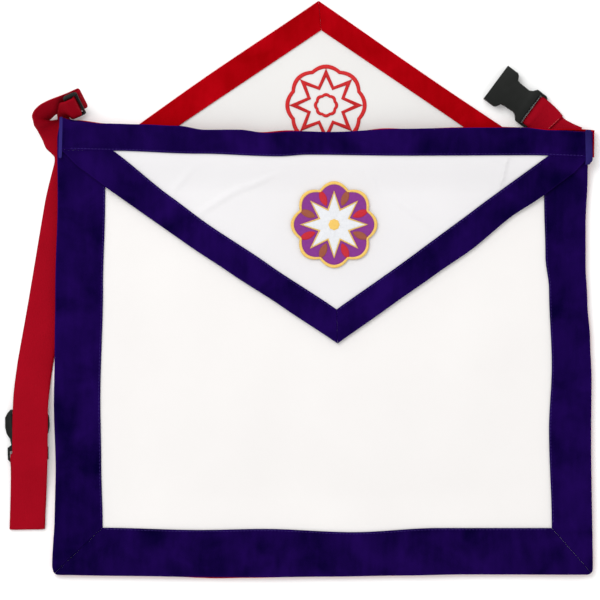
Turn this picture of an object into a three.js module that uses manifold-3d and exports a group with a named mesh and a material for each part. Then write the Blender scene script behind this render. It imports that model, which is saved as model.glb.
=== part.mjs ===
// Reversible lodge apron with its webbing belt, lying flat with the reverse flap turned up.
// Millimetres. X runs to the wearer's left (photo right), Y up the apron, Z up from the surface it lies on.
import * as THREE from 'three';
import Module from 'manifold-3d';

// Driving sizes of the apron body.
const BODY_WIDTH = 408;
const BODY_HEIGHT = 341;
const CLOTH_THICKNESS = 1.0;
const VELVET_THICKNESS = 1.1;
const LAYER_GAP = 0.35;
const HEM_THICKNESS = 1.1;
const HEM_ROUND = 0.4;
const SAG_REACH = 30;

// Driving sizes of the two flaps.
const FRONT_FLAP_DROP = 143.5;
const FRONT_FLAP_BORDER = 21.3;
const FRONT_FLAP_TIP_OFFSET = 11;
const FRONT_FLAP_CLEARANCE = 0.95;
const RAISED_FLAP_RISE = 117.5;
const RAISED_FLAP_WIDTH = 342;
const RAISED_FLAP_BORDER = 17;
const RAISED_FLAP_TIP_OFFSET = -3.5;

// Driving sizes of the emblems.
const FRONT_EMBLEM_SIZE = 66;
const FRONT_EMBLEM_DROP = 53;
const RAISED_EMBLEM_SIZE = 62;
const RAISED_EMBLEM_RISE = 38;
const EMBROIDERY_THICKNESS = 0.9;

// Driving sizes of the belt and its plastic pieces.
const STRAP_WIDTH = 27;
const STRAP_THICKNESS = 1.2;
const BAR_WIDTH = 2.1;
const BAR_CLEARANCE = 0.4;
const SLIDE_THICKNESS = 2.6;
const SLIDE_WALL = 2.1;
const SLIDE_SLOT = 2.4;
const SLIDE_TILT = 61;
const SLIDE_HEADING = -66;
const BUCKLE_WALL = 1.6;
const BUCKLE_LENGTH = 39.5;
const BUCKLE_HEIGHT = 9;
const BUCKLE_HEADING = 143.5;
// The webbing curls a little narrower where it runs round the female half's bar.
const CURLED_SHARE = 0.926;
// The housing stands this much wider than the strap that its bar carries.
const MOUTH_MARGIN = 4.2;
const MOUTH_WIDTH = STRAP_WIDTH + MOUTH_MARGIN;
const PRONG_LENGTH = 27;
const PRONG_THICKNESS = 3.4;
const BASE_LENGTH = 13;
const MALE_BAR = 3;
const MALE_SLOT = 5.4;

// How high the stack under the waist band stands, and what lies under the left edge.
const WAIST_LIFT = Math.max(
  2 * (STRAP_THICKNESS + LAYER_GAP),
  CLOTH_THICKNESS + VELVET_THICKNESS + 3 * LAYER_GAP
);
const STRAP_LIFT = STRAP_THICKNESS + LAYER_GAP;
// Swells of the apron where its waist rides over the belt's hardware: place from the top left corner as
// shares of BODY_WIDTH, reach as a share of STRAP_WIDTH, rise in millimetres.
const HARDWARE_SWELLS = [
  { x: 0.022, y: 0.006, reach: 1.95, rise: 1.4 },
  { x: 0.889, y: -0.004, reach: 2.0, rise: 1.5 },
];

// Edges of the apron, read along each edge; every length is a share of BODY_WIDTH.
// at: share of the edge's length from the top or the left, out or up: how far the edge lies from the nominal line.
const LEFT_EDGE = [
  { at: -0.022, out: 0.0101 },
  { at: 0.027, out: 0.0045 },
  { at: 0.161, out: 0.0048 },
  { at: 0.359, out: 0.0004 },
  { at: 0.502, out: -0.0007 },
  { at: 0.618, out: -0.0024 },
  { at: 0.763, out: 0.0009 },
  { at: 0.853, out: -0.0006 },
  { at: 0.978, out: -0.0056 },
  { at: 1.01, out: -0.0037 },
];
const RIGHT_EDGE = [
  { at: 0.0, out: -0.0062 },
  { at: 0.116, out: -0.0069 },
  { at: 0.217, out: -0.0104 },
  { at: 0.304, out: -0.0104 },
  { at: 0.388, out: -0.0071 },
  { at: 0.473, out: -0.0019 },
  { at: 0.56, out: 0.0007 },
  { at: 0.696, out: 0.0 },
  { at: 1.0, out: 0.0032 },
];
const LEFT_BORDER_LINE = [
  { at: 0.0, out: 0.0936 },
  { at: 0.161, out: 0.0936 },
  { at: 0.359, out: 0.0895 },
  { at: 0.607, out: 0.0845 },
  { at: 0.741, out: 0.0861 },
  { at: 0.893, out: 0.0889 },
];
const RIGHT_BORDER_LINE = [
  { at: 0.0, out: -0.0891 },
  { at: 0.161, out: -0.088 },
  { at: 0.288, out: -0.0856 },
  { at: 0.359, out: -0.0789 },
  { at: 0.531, out: -0.0737 },
  { at: 0.674, out: -0.0789 },
  { at: 0.893, out: -0.0737 },
];
const TOP_EDGE = [
  { at: 0.004, out: 0.0198 },
  { at: 0.017, out: 0.0183 },
  { at: 0.032, out: 0.0117 },
  { at: 0.093, out: 0.0078 },
  { at: 0.158, out: 0.0065 },
  { at: 0.229, out: 0.0037 },
  { at: 0.28, out: -0.0037 },
  { at: 0.343, out: -0.0034 },
  { at: 0.393, out: -0.0093 },
  { at: 0.449, out: -0.0063 },
  { at: 0.513, out: -0.0078 },
  { at: 0.643, out: -0.0019 },
  { at: 0.783, out: 0.0004 },
  { at: 0.873, out: 0.0004 },
  { at: 0.923, out: -0.0048 },
  { at: 0.999, out: -0.0075 },
];
const BAND_LINE = [
  { at: 0.004, out: -0.041 },
  { at: 0.108, out: -0.0431 },
  { at: 0.27, out: -0.0485 },
  { at: 0.418, out: -0.0533 },
  { at: 0.472, out: -0.0503 },
  { at: 0.643, out: -0.0522 },
  { at: 0.882, out: -0.0515 },
  { at: 0.999, out: -0.055 },
];
const BOTTOM_BORDER_LINE = [
  { at: 0.088, out: 0.0902 },
  { at: 0.27, out: 0.0861 },
  { at: 0.39, out: 0.088 },
  { at: 0.556, out: 0.082 },
  { at: 0.714, out: 0.0897 },
  { at: 0.927, out: 0.0897 },
];
const BOTTOM_EDGE = [
  { at: -0.004, out: 0.0019 },
  { at: 0.136, out: 0.0 },
  { at: 0.27, out: -0.0019 },
  { at: 0.39, out: -0.0024 },
  { at: 0.509, out: -0.0013 },
  { at: 0.643, out: 0.0007 },
  { at: 0.763, out: 0.0028 },
  { at: 1.003, out: 0.0024 },
];
// How far the red band stands beyond the purple one along the waist, as shares of BODY_WIDTH.
const RED_FRINGE = [
  { at: 0.0, out: 0.0 },
  { at: 0.05, out: 0.003 },
  { at: 0.11, out: 0.0 },
  { at: 0.36, out: 0.0 },
  { at: 0.42, out: 0.0028 },
  { at: 0.48, out: 0.0 },
  { at: 0.57, out: 0.0 },
  { at: 0.61, out: 0.002 },
  { at: 0.66, out: 0.0 },
  { at: 0.76, out: 0.0012 },
  { at: 0.83, out: 0.0016 },
  { at: 0.87, out: 0.0006 },
  { at: 0.92, out: 0.0022 },
  { at: 1.0, out: 0.003 },
];
// How far the red border stands beyond the purple one along the foot.
const FOOT_FRINGE = [
  { at: 0.0, out: 0.0 },
  { at: 0.22, out: 0.0002 },
  { at: 0.3, out: 0.0026 },
  { at: 0.36, out: 0.0014 },
  { at: 0.45, out: 0.0 },
  { at: 1.0, out: 0.0 },
];
// Slow bows of the flaps' slanting edges: at is the share from the base to the tip.
const FRONT_FLAP_OUTER_BOW = [
  { at: 0.0, left: 0.0, right: 0.0 },
  { at: 0.08, left: 0.0072, right: 0.006 },
  { at: 0.2, left: 0.009, right: 0.0062 },
  { at: 0.31, left: 0.0092, right: 0.0024 },
  { at: 0.48, left: 0.0092, right: 0.0076 },
  { at: 0.62, left: 0.007, right: 0.0048 },
  { at: 0.8, left: 0.003, right: 0.0024 },
  { at: 1.0, left: 0.0, right: 0.0 },
];
const FRONT_FLAP_INNER_BOW = [
  { at: 0.0, left: 0.0, right: 0.0 },
  { at: 0.27, left: 0.0076, right: 0.0 },
  { at: 0.42, left: 0.0094, right: 0.001 },
  { at: 0.7, left: 0.005, right: 0.002 },
  { at: 1.0, left: 0.0, right: 0.0 },
];
const RAISED_FLAP_OUTER_BOW = [
  { at: 0.0, left: 0.0, right: 0.0 },
  { at: 0.5, left: 0.003, right: -0.002 },
  { at: 1.0, left: 0.0, right: 0.0 },
];

// Soft swells of the cloth between the borders: centre as shares of the width and the height, rise in millimetres.
const SWELLS = [
  { across: 0.27, down: 0.62, reach: 0.19, rise: 1.3 },
  { across: 0.52, down: 0.74, reach: 0.17, rise: 0.9 },
  { across: 0.76, down: 0.55, reach: 0.18, rise: 1.4 },
  { across: 0.4, down: 0.45, reach: 0.14, rise: 0.7 },
];
// Soft swells of the turned-up flap, shares of RAISED_FLAP_WIDTH and RAISED_FLAP_RISE.
const RAISED_SWELLS = [
  { across: 0.3, down: 0.64, reach: 0.115, rise: 0.8 },
  { across: 0.69, down: 0.6, reach: 0.105, rise: 0.8 },
];

// Plain number helpers.
const radians = (degrees) => (degrees * Math.PI) / 180;
const smooth = (distance, reach) => {
  const t = Math.min(1, Math.max(0, distance / reach));
  return t * t * (3 - 2 * t);
};
const mix = (a, b, t) => a + (b - a) * t;

// Reads a column of a table at a place between its rows, easing from row to row.
function read(table, place, column = 'out') {
  if (place <= table[0].at) return table[0][column];
  for (let i = 1; i < table.length; i += 1) {
    if (place <= table[i].at) {
      const t = (place - table[i - 1].at) / (table[i].at - table[i - 1].at);
      return mix(table[i - 1][column], table[i][column], t * t * (3 - 2 * t));
    }
  }
  return table[table.length - 1][column];
}

// The apron's edges as functions of the other coordinate; the body is centred on the nominal rectangle.
const acrossOf = (x) => x / BODY_WIDTH + 0.5;
const downOf = (y) => 0.5 - y / BODY_HEIGHT;
const leftX = (y) => BODY_WIDTH * (-0.5 + read(LEFT_EDGE, downOf(y)));
const rightX = (y) => BODY_WIDTH * (0.5 + read(RIGHT_EDGE, downOf(y)));
const leftLineX = (y) => BODY_WIDTH * (-0.5 + read(LEFT_BORDER_LINE, downOf(y)));
const rightLineX = (y) => BODY_WIDTH * (0.5 + read(RIGHT_BORDER_LINE, downOf(y)));
const topY = (x) => BODY_HEIGHT / 2 + BODY_WIDTH * read(TOP_EDGE, acrossOf(x));
const bandY = (x) => BODY_HEIGHT / 2 + BODY_WIDTH * read(BAND_LINE, acrossOf(x));
const footLineY = (x) => -BODY_HEIGHT / 2 + BODY_WIDTH * read(BOTTOM_BORDER_LINE, acrossOf(x));
const footY = (x) => -BODY_HEIGHT / 2 + BODY_WIDTH * read(BOTTOM_EDGE, acrossOf(x));

// The belt is placed from the body's top left corner, in shares of STRAP_WIDTH.
const CORNER = { x: -BODY_WIDTH / 2, y: BODY_HEIGHT / 2 };
const FOLD_PLACE = { x: -0.79, y: -11.27 };
const MALE_PLACE = { x: -0.757, y: -9.41 };

// The inner edge of the strap that the body's left edge lies over: down the apron, out from the corner.
const STRAP_LINE = [
  { at: 0.6, out: 1.0 },
  { at: 1.2, out: 0.97 },
  { at: 2.23, out: 0.7 },
  { at: 5.0, out: 0.231 },
  { at: 7.27, out: -0.149 },
];
const strapInnerX = (y) => CORNER.x + STRAP_WIDTH * read(STRAP_LINE, (CORNER.y - y) / STRAP_WIDTH);

// Heights of the layers. The waist stands on the turned-up flap and the belt's ends, the left edge on the strap.
function bodyLift(x, y) {
  const waist = 1 - smooth(bandY(x) - y, SAG_REACH);
  const strapEnd = CORNER.y - 8.4 * STRAP_WIDTH;
  const strap = (1 - smooth(x - strapInnerX(y), SAG_REACH)) * smooth(y - strapEnd, 1.6 * STRAP_WIDTH);
  let lift = WAIST_LIFT * waist + STRAP_LIFT * strap * (1 - waist);
  for (const s of HARDWARE_SWELLS) {
    const r = Math.hypot(x - CORNER.x - s.x * BODY_WIDTH, y - CORNER.y - s.y * BODY_WIDTH);
    lift += s.rise * (1 - smooth(r, s.reach * STRAP_WIDTH));
  }
  return lift;
}
// 1 over the open cloth between the borders, 0 over the borders themselves.
function openField(x, y) {
  const sides = smooth(x - leftLineX(y), SAG_REACH) * smooth(rightLineX(y) - x, SAG_REACH);
  return sides * smooth(y - footLineY(x), SAG_REACH) * smooth(bandY(x) - y, SAG_REACH);
}
function betweenSides(x, y) {
  return smooth(x - leftLineX(y), SAG_REACH) * smooth(rightLineX(y) - x, SAG_REACH);
}
function swell(x, y) {
  let rise = 0;
  for (const s of SWELLS) {
    const r = Math.hypot(acrossOf(x) - s.across, ((downOf(y) - s.down) * BODY_HEIGHT) / BODY_WIDTH);
    rise += s.rise * (1 - smooth(r, s.reach));
  }
  return rise;
}
const UNDER_STEP = VELVET_THICKNESS + LAYER_GAP;
const CLOTH_STEP = CLOTH_THICKNESS + LAYER_GAP;
const backBorderZ = (x, y) => bodyLift(x, y);
const backPanelZ = (x, y) => bodyLift(x, y) + UNDER_STEP * (1 - openField(x, y)) + swell(x, y);
const frontPanelZ = (x, y) => backPanelZ(x, y) + CLOTH_STEP;
const frontBorderZ = (x, y) => frontPanelZ(x, y) + CLOTH_STEP;
function frontFlapZ(x, y) {
  const sides = 1 - betweenSides(x, y);
  return frontPanelZ(x, y) + CLOTH_THICKNESS + FRONT_FLAP_CLEARANCE + UNDER_STEP * sides;
}
const frontFlapBorderZ = (x, y) => frontFlapZ(x, y) + CLOTH_STEP;

// Builds a closed body from a sheet of cells: each cell is a triangle or quad of plan points, low and high
// give the body's two faces over a plan point.
function slab(cells, low, high) {
  const index = new Map();
  const points = [];
  const idOf = ([x, y]) => {
    const key = `${Math.round(x * 500)},${Math.round(y * 500)}`;
    if (!index.has(key)) {
      index.set(key, points.length);
      points.push([x, y]);
    }
    return index.get(key);
  };
  const faces = [];
  for (const cell of cells) {
    const ids = cell.map(idOf).filter((id, i, all) => id !== all[(i + all.length - 1) % all.length]);
    for (let i = 1; i + 1 < ids.length; i += 1) {
      const face = [ids[0], ids[i], ids[i + 1]];
      const [a, b, c] = face.map((id) => points[id]);
      const area = (b[0] - a[0]) * (c[1] - a[1]) - (b[1] - a[1]) * (c[0] - a[0]);
      if (Math.abs(area) > 1e-3) faces.push(area > 0 ? face : [face[0], face[2], face[1]]);
    }
  }
  const n = points.length;
  const position = [];
  for (const [x, y] of points) position.push(x, y, low(x, y));
  for (const [x, y] of points) position.push(x, y, high(x, y));
  const triangles = [];
  const edges = new Map();
  for (const [a, b, c] of faces) {
    triangles.push(a, c, b, a + n, b + n, c + n);
    for (const [p, q] of [[a, b], [b, c], [c, a]]) edges.set(`${p},${q}`, [p, q]);
  }
  for (const [p, q] of edges.values()) {
    if (!edges.has(`${q},${p}`)) triangles.push(p, q, q + n, p, q + n, p + n);
  }
  return geometryOf(position, triangles);
}
function geometryOf(position, triangles) {
  const geometry = new THREE.BufferGeometry();
  geometry.setAttribute('position', new THREE.Float32BufferAttribute(position, 3));
  geometry.setIndex(triangles);
  geometry.computeVertexNormals();
  return geometry;
}

// Joins closed section loops, one after another, into a body with flat ends. The ends follow the loop's own
// plan shape, given once as two-column points.
function loft(sections, capShape) {
  const n = sections[0].length;
  const position = sections.flat(2);
  const triangles = [];
  for (let s = 0; s + 1 < sections.length; s += 1) {
    for (let i = 0; i < n; i += 1) {
      const a = s * n + i;
      const b = s * n + ((i + 1) % n);
      triangles.push(a, b, b + n, a, b + n, a + n);
    }
  }
  const cap = THREE.ShapeUtils.triangulateShape(
    capShape.map(([x, y]) => new THREE.Vector2(x, y)),
    []
  );
  const last = (sections.length - 1) * n;
  const forward = cap.some((face) => face.some((v, i) => face[(i + 1) % 3] === (v + 1) % n));
  for (const [a, b, c] of cap) {
    if (forward) triangles.push(a, c, b, last + a, last + b, last + c);
    else triangles.push(a, b, c, last + a, last + c, last + b);
  }
  const geometry = geometryOf(position, triangles);
  if (signedVolume(geometry) < 0) {
    const flipped = [];
    for (let i = 0; i < triangles.length; i += 3) {
      flipped.push(triangles[i], triangles[i + 2], triangles[i + 1]);
    }
    geometry.setIndex(flipped);
    geometry.computeVertexNormals();
  }
  return geometry;
}
function signedVolume(geometry) {
  const p = geometry.getAttribute('position');
  const index = geometry.getIndex().array;
  const [a, b, c] = [new THREE.Vector3(), new THREE.Vector3(), new THREE.Vector3()];
  let volume = 0;
  for (let i = 0; i < index.length; i += 3) {
    a.fromBufferAttribute(p, index[i]);
    b.fromBufferAttribute(p, index[i + 1]);
    c.fromBufferAttribute(p, index[i + 2]);
    volume += a.dot(b.cross(c)) / 6;
  }
  return volume;
}

// A strip of velvet whose outer edge is folded over the cloth. outer and inner are matching plan points, zOf
// the strip's low face, fold the depth of the folded lip: positive folds down, negative folds up. parts are
// the places across the strip, from the outer edge, where its surface is shaped.
function hemmedStrip(outer, inner, zOf, fold, parts) {
  const t = VELVET_THICKNESS;
  const sign = fold > 0 ? 1 : -1;
  const depth = Math.abs(fold);
  const base = (x, y) => zOf(x, y) + (sign > 0 ? 0 : t);
  const sections = outer.map((p, i) => {
    const q = inner[i];
    const before = outer[Math.max(0, i - 1)];
    const after = outer[Math.min(outer.length - 1, i + 1)];
    const along = new THREE.Vector2(after[0] - before[0], after[1] - before[1]).normalize();
    const reach = new THREE.Vector2(q[0] - p[0], q[1] - p[1]);
    const length = reach.length();
    reach.normalize();
    const skew = 1 / Math.max(0.35, Math.abs(reach.cross(along)));
    const at = (distance) => [p[0] + reach.x * distance, p[1] + reach.y * distance];
    const face = (part, offset) => {
      const [x, y] = at(length * part);
      return [x, y, base(x, y) + sign * offset];
    };
    const [hx, hy] = at(HEM_THICKNESS * skew);
    const [rx, ry] = at(HEM_ROUND * skew);
    const edge = base(...p);
    return [
      ...parts.map((part) => face(part, t)).reverse(),
      [rx, ry, base(rx, ry) + sign * t],
      [p[0], p[1], edge + sign * (t - HEM_ROUND)],
      [p[0], p[1], edge - sign * depth],
      [hx, hy, edge - sign * depth],
      [hx, hy, edge],
      ...parts.map((part) => face(part, 0)),
    ];
  });
  const bulge = (part) => 0.3 * part * (1 - part);
  const profile = [
    ...parts.map((part) => [20 * part, 2 + bulge(part)]).reverse(),
    [1, 2],
    [0, 1.5],
    [0, -2],
    [1.4, -2],
    [1.4, 0],
    ...parts.map((part) => [20 * part, -bulge(part)]),
  ];
  return loft(sections, profile);
}

// Places along the body's grid. zone names the stretch, part the share of it.
const ROWS = [
  { zone: 'waist', part: 0 },
  { zone: 'waist', part: 0.5 },
  { zone: 'waist', part: 1 },
  { zone: 'field', part: 0.035 },
  { zone: 'field', part: 0.075 },
  { zone: 'field', part: 0.12 },
  { zone: 'field', part: 0.17 },
  { zone: 'field', part: 0.24 },
  { zone: 'field', part: 0.33 },
  { zone: 'field', part: 0.44 },
  { zone: 'field', part: 0.55 },
  { zone: 'field', part: 0.66 },
  { zone: 'field', part: 0.77 },
  { zone: 'field', part: 0.88 },
  { zone: 'field', part: 0.94 },
  { zone: 'field', part: 1 },
  { zone: 'foot', part: 1 },
];
const COLUMNS = [
  { zone: 'left', part: 0 },
  { zone: 'left', part: 0.35 },
  { zone: 'left', part: 0.68 },
  { zone: 'left', part: 1 },
  { zone: 'open', part: 0.035 },
  { zone: 'open', part: 0.08 },
  { zone: 'open', part: 0.18 },
  { zone: 'open', part: 0.29 },
  { zone: 'open', part: 0.4 },
  { zone: 'open', part: 0.51 },
  { zone: 'open', part: 0.62 },
  { zone: 'open', part: 0.73 },
  { zone: 'open', part: 0.82 },
  { zone: 'open', part: 0.875 },
  { zone: 'open', part: 0.925 },
  { zone: 'open', part: 0.965 },
  { zone: 'right', part: 0 },
  { zone: 'right', part: 0.5 },
  { zone: 'right', part: 1 },
];
function bodyPoint(column, row, inset = 0) {
  let y = { waist: 0.46, field: 0.2, foot: -0.45 }[row.zone] * BODY_HEIGHT;
  let x = 0;
  for (let pass = 0; pass < 4; pass += 1) {
    const left = leftX(y) + inset;
    const right = rightX(y) - inset;
    if (column.zone === 'left') x = mix(left, leftLineX(y), column.part);
    if (column.zone === 'open') x = mix(leftLineX(y), rightLineX(y), column.part);
    if (column.zone === 'right') x = mix(rightLineX(y), right, column.part);
    const top = topY(x) - inset;
    const foot = footY(x) + inset;
    if (row.zone === 'waist') y = mix(top, bandY(x), row.part);
    if (row.zone === 'field') y = mix(bandY(x), footLineY(x), row.part);
    if (row.zone === 'foot') y = mix(footLineY(x), foot, row.part);
  }
  return [x, y];
}
// turned tells which cells are split along their other diagonal, to lie flush with the strip beside them.
function gridCells(points, turned) {
  const cells = [];
  for (let j = 0; j + 1 < points.length; j += 1) {
    for (let i = 0; i + 1 < points[j].length; i += 1) {
      const cell = [points[j][i], points[j + 1][i], points[j + 1][i + 1], points[j][i + 1]];
      cells.push(turned(j, i) ? [cell[3], cell[0], cell[1], cell[2]] : cell);
    }
  }
  return cells;
}
function bodyPanel(low, firstTurned) {
  const points = ROWS.map((row) => COLUMNS.map((column) => bodyPoint(column, row, PANEL_INSET)));
  const foot = (j, i) => ROWS[j + 1].zone === 'foot' && COLUMNS[i].zone !== 'left';
  const right = (j, i) => j >= firstTurned && COLUMNS[i].zone === 'right';
  const cells = gridCells(points, (j, i) => foot(j, i) || right(j, i));
  return slab(cells, low, (x, y) => low(x, y) + CLOTH_THICKNESS);
}

// The borders of the body. Each mitre runs from the inner corner to the outer corner.
const MITRE_GAP = 0.25;
const PANEL_INSET = HEM_THICKNESS + LAYER_GAP + 0.2;
const SIDE_PARTS = { left: [0.35, 0.68, 1], right: [0.5, 1] };
function sideBorder(side, zOf, fold, fromWaist) {
  const column = (part) => ({ zone: side, part: side === 'left' ? part : 1 - part });
  const outer = [];
  const inner = [];
  const add = (row, drop) => {
    for (const [list, part] of [[outer, 0], [inner, 1]]) {
      const [x, y] = bodyPoint(column(part), row);
      list.push([x, y - drop]);
    }
  };
  if (fromWaist) {
    add(ROWS[0], PANEL_INSET);
    add(ROWS[1], 0);
    add(ROWS[2], 0);
  } else {
    add(ROWS[2], LAYER_GAP);
  }
  const field = ROWS.filter((row) => row.zone === 'field');
  for (const row of field.slice(0, -1)) add(row, 0);
  const [ox, oy] = bodyPoint(column(0), { zone: 'foot', part: 1 });
  const [ix, iy] = bodyPoint(column(1), { zone: 'field', part: 1 });
  outer.push([ox, oy + 2 * MITRE_GAP]);
  inner.push([ix, iy + 2 * MITRE_GAP]);
  return hemmedStrip(outer, inner, zOf, fold, SIDE_PARTS[side]);
}
function footBorder(zOf, fold, fringe) {
  const outer = [];
  const inner = [];
  const list = [
    { zone: 'left', part: 1 },
    ...COLUMNS.filter((column) => column.zone === 'open'),
    { zone: 'right', part: 0 },
  ];
  list.forEach((column, i) => {
    const ends = { 0: { zone: 'left', part: 0 }, [list.length - 1]: { zone: 'right', part: 1 } };
    const shift = { 0: 2 * MITRE_GAP, [list.length - 1]: -2 * MITRE_GAP }[i] || 0;
    const [ox, oy] = bodyPoint(ends[i] || column, { zone: 'foot', part: 1 });
    const [ix, iy] = bodyPoint(column, { zone: 'field', part: 1 });
    outer.push([ox + shift, oy - fringe(ox)]);
    inner.push([ix + shift, iy]);
  });
  return hemmedStrip(outer, inner, zOf, fold, [0.5, 1]);
}

// The front flap's grid, from the waist edge to the tip. Its slanting border strips and the open triangle
// share their points.
const FLAP_STRIP = [0, 1 / 3, 2 / 3, 1];
const FLAP_OPEN = [0, 0.03, 0.067, 0.13, 0.22, 0.33, 0.45, 0.57, 0.69, 0.78, 0.84, 0.89, 0.94, 0.975, 1];
const FLAP_RUN = [0, 0.08, 0.17, 0.27, 0.38, 0.5, 0.62, 0.74, 0.86, 1];
function frontFlapLines() {
  const y0 = bandY(0);
  const leftBase = [leftX(y0) + 2.4, bandY(-BODY_WIDTH / 2)];
  const rightBase = [rightX(y0) + 1.2, bandY(BODY_WIDTH / 2)];
  const tip = [FRONT_FLAP_TIP_OFFSET, y0 - FRONT_FLAP_DROP];
  const slope = Math.atan2(FRONT_FLAP_DROP, BODY_WIDTH / 2);
  const innerTip = [tip[0] - 0.8, tip[1] + FRONT_FLAP_BORDER / Math.cos(slope)];
  const leftInner = [leftBase[0] + FRONT_FLAP_BORDER / Math.sin(slope) + 3.3, 0];
  const rightInner = [rightBase[0] - FRONT_FLAP_BORDER / Math.sin(slope) + 5.5, 0];
  leftInner[1] = bandY(leftInner[0]);
  rightInner[1] = bandY(rightInner[0]);
  return { leftBase, rightBase, tip, innerTip, leftInner, rightInner };
}
function bowed(from, to, share, bow, column, sign) {
  const dx = to[0] - from[0];
  const dy = to[1] - from[1];
  const length = Math.hypot(dx, dy);
  const push = sign * BODY_WIDTH * read(bow, share, column);
  return [from[0] + dx * share + (dy / length) * push, from[1] + dy * share - (dx / length) * push];
}
function frontFlapRow(share, gap) {
  const f = frontFlapLines();
  const leftOuter = bowed(f.leftBase, f.tip, share, FRONT_FLAP_OUTER_BOW, 'left', 1);
  const rightOuter = bowed(f.rightBase, f.tip, share, FRONT_FLAP_OUTER_BOW, 'right', -1);
  const leftInner = bowed(f.leftInner, f.innerTip, share, FRONT_FLAP_INNER_BOW, 'left', 1);
  const rightInner = bowed(f.rightInner, f.innerTip, share, FRONT_FLAP_INNER_BOW, 'right', -1);
  const drop = share === 0 ? gap : 0;
  const lower = ([x, y]) => [x, y - drop];
  return [leftOuter, leftInner, rightInner, rightOuter].map(lower);
}
function frontFlapPanel() {
  const inset = PANEL_INSET;
  const rows = [];
  const spread = ([lo, li, ri, ro]) => {
    const row = [];
    for (const part of FLAP_STRIP.slice(0, -1)) row.push([mix(lo[0], li[0], part), mix(lo[1], li[1], part)]);
    for (const part of FLAP_OPEN) row.push([mix(li[0], ri[0], part), mix(li[1], ri[1], part)]);
    for (const part of FLAP_STRIP.slice(1)) row.push([mix(ri[0], ro[0], part), mix(ri[1], ro[1], part)]);
    return row;
  };
  const pull = (p, q) => {
    const length = Math.hypot(q[0] - p[0], q[1] - p[1]);
    const share = (1.6 * inset) / length;
    return [mix(p[0], q[0], share), mix(p[1], q[1], share)];
  };
  const base = spread(frontFlapRow(0, 0).map((p) => [p[0], bandY(p[0])]));
  base[0][0] += 1.6 * inset;
  base[base.length - 1][0] -= 1.6 * inset;
  for (const p of base) p[1] = bandY(p[0]);
  for (const part of [0, 0.5]) {
    rows.push(base.map(([x]) => [x, mix(topY(x) - inset, bandY(x), part)]));
  }
  rows.push(base);
  for (const share of FLAP_RUN.slice(1)) {
    const [lo, li, ri, ro] = frontFlapRow(share, 0);
    rows.push(spread([pull(lo, li), li, ri, pull(ro, ri)]));
  }
  const rightStrip = FLAP_STRIP.length - 1 + FLAP_OPEN.length - 1;
  const cells = gridCells(rows, (j, i) => j >= 2 && i >= rightStrip);
  return slab(cells, frontFlapZ, (x, y) => frontFlapZ(x, y) + CLOTH_THICKNESS);
}
function frontFlapBorder(side) {
  const outer = [];
  const inner = [];
  const sign = side === 'left' ? -1 : 1;
  for (const share of FLAP_RUN) {
    const row = frontFlapRow(share, 2 * LAYER_GAP);
    const shift = share === 1 ? sign * MITRE_GAP : 0;
    const o = side === 'left' ? row[0] : row[3];
    const i = side === 'left' ? row[1] : row[2];
    outer.push([o[0] + shift, o[1]]);
    inner.push([i[0] + shift, i[1]]);
  }
  return hemmedStrip(outer, inner, frontFlapBorderZ, CLOTH_STEP - 0.1, FLAP_STRIP.slice(1));
}

// The two waist bands. The purple one's right end stands out beyond the flap.
const BAND_END = { left: 1.8, right: 3.4, ear: 5.2 };
function frontTopBand() {
  const left = leftX(BODY_HEIGHT * 0.45) + BAND_END.left;
  const right = rightX(BODY_HEIGHT * 0.45) + BAND_END.right;
  const f = frontFlapLines();
  const spread = (a, b, parts) => parts.map((part) => mix(a, b, part));
  const xs = [
    ...spread(left, f.leftInner[0], FLAP_STRIP.slice(0, -1)),
    ...spread(f.leftInner[0], f.rightInner[0], FLAP_OPEN),
    ...spread(f.rightInner[0], right - BAND_END.ear - 0.8, FLAP_STRIP.slice(1)),
    right - BAND_END.ear,
    right,
  ];
  const outer = xs.map((x) => [x, topY(x)]);
  const inner = xs.map((x) => [x, bandY(x)]);
  const z = (x, y) => frontFlapZ(x, y) + CLOTH_STEP;
  const depth = CLOTH_THICKNESS + FRONT_FLAP_CLEARANCE;
  return hemmedStrip(outer, inner, z, depth, [0.5, 1]);
}
function backTopBand() {
  const outer = [];
  const inner = [];
  for (const column of COLUMNS) {
    const [ox, oy] = bodyPoint(column, ROWS[0]);
    const [ix, iy] = bodyPoint(column, ROWS[2]);
    const end = column.zone === 'right' && column.part === 1 ? 5 : 0;
    outer.push([ox + end, oy + BODY_WIDTH * read(RED_FRINGE, acrossOf(ox))]);
    inner.push([ix + end, iy]);
  }
  return hemmedStrip(outer, inner, backBorderZ, -CLOTH_STEP, [0.5, 1]);
}

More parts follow.
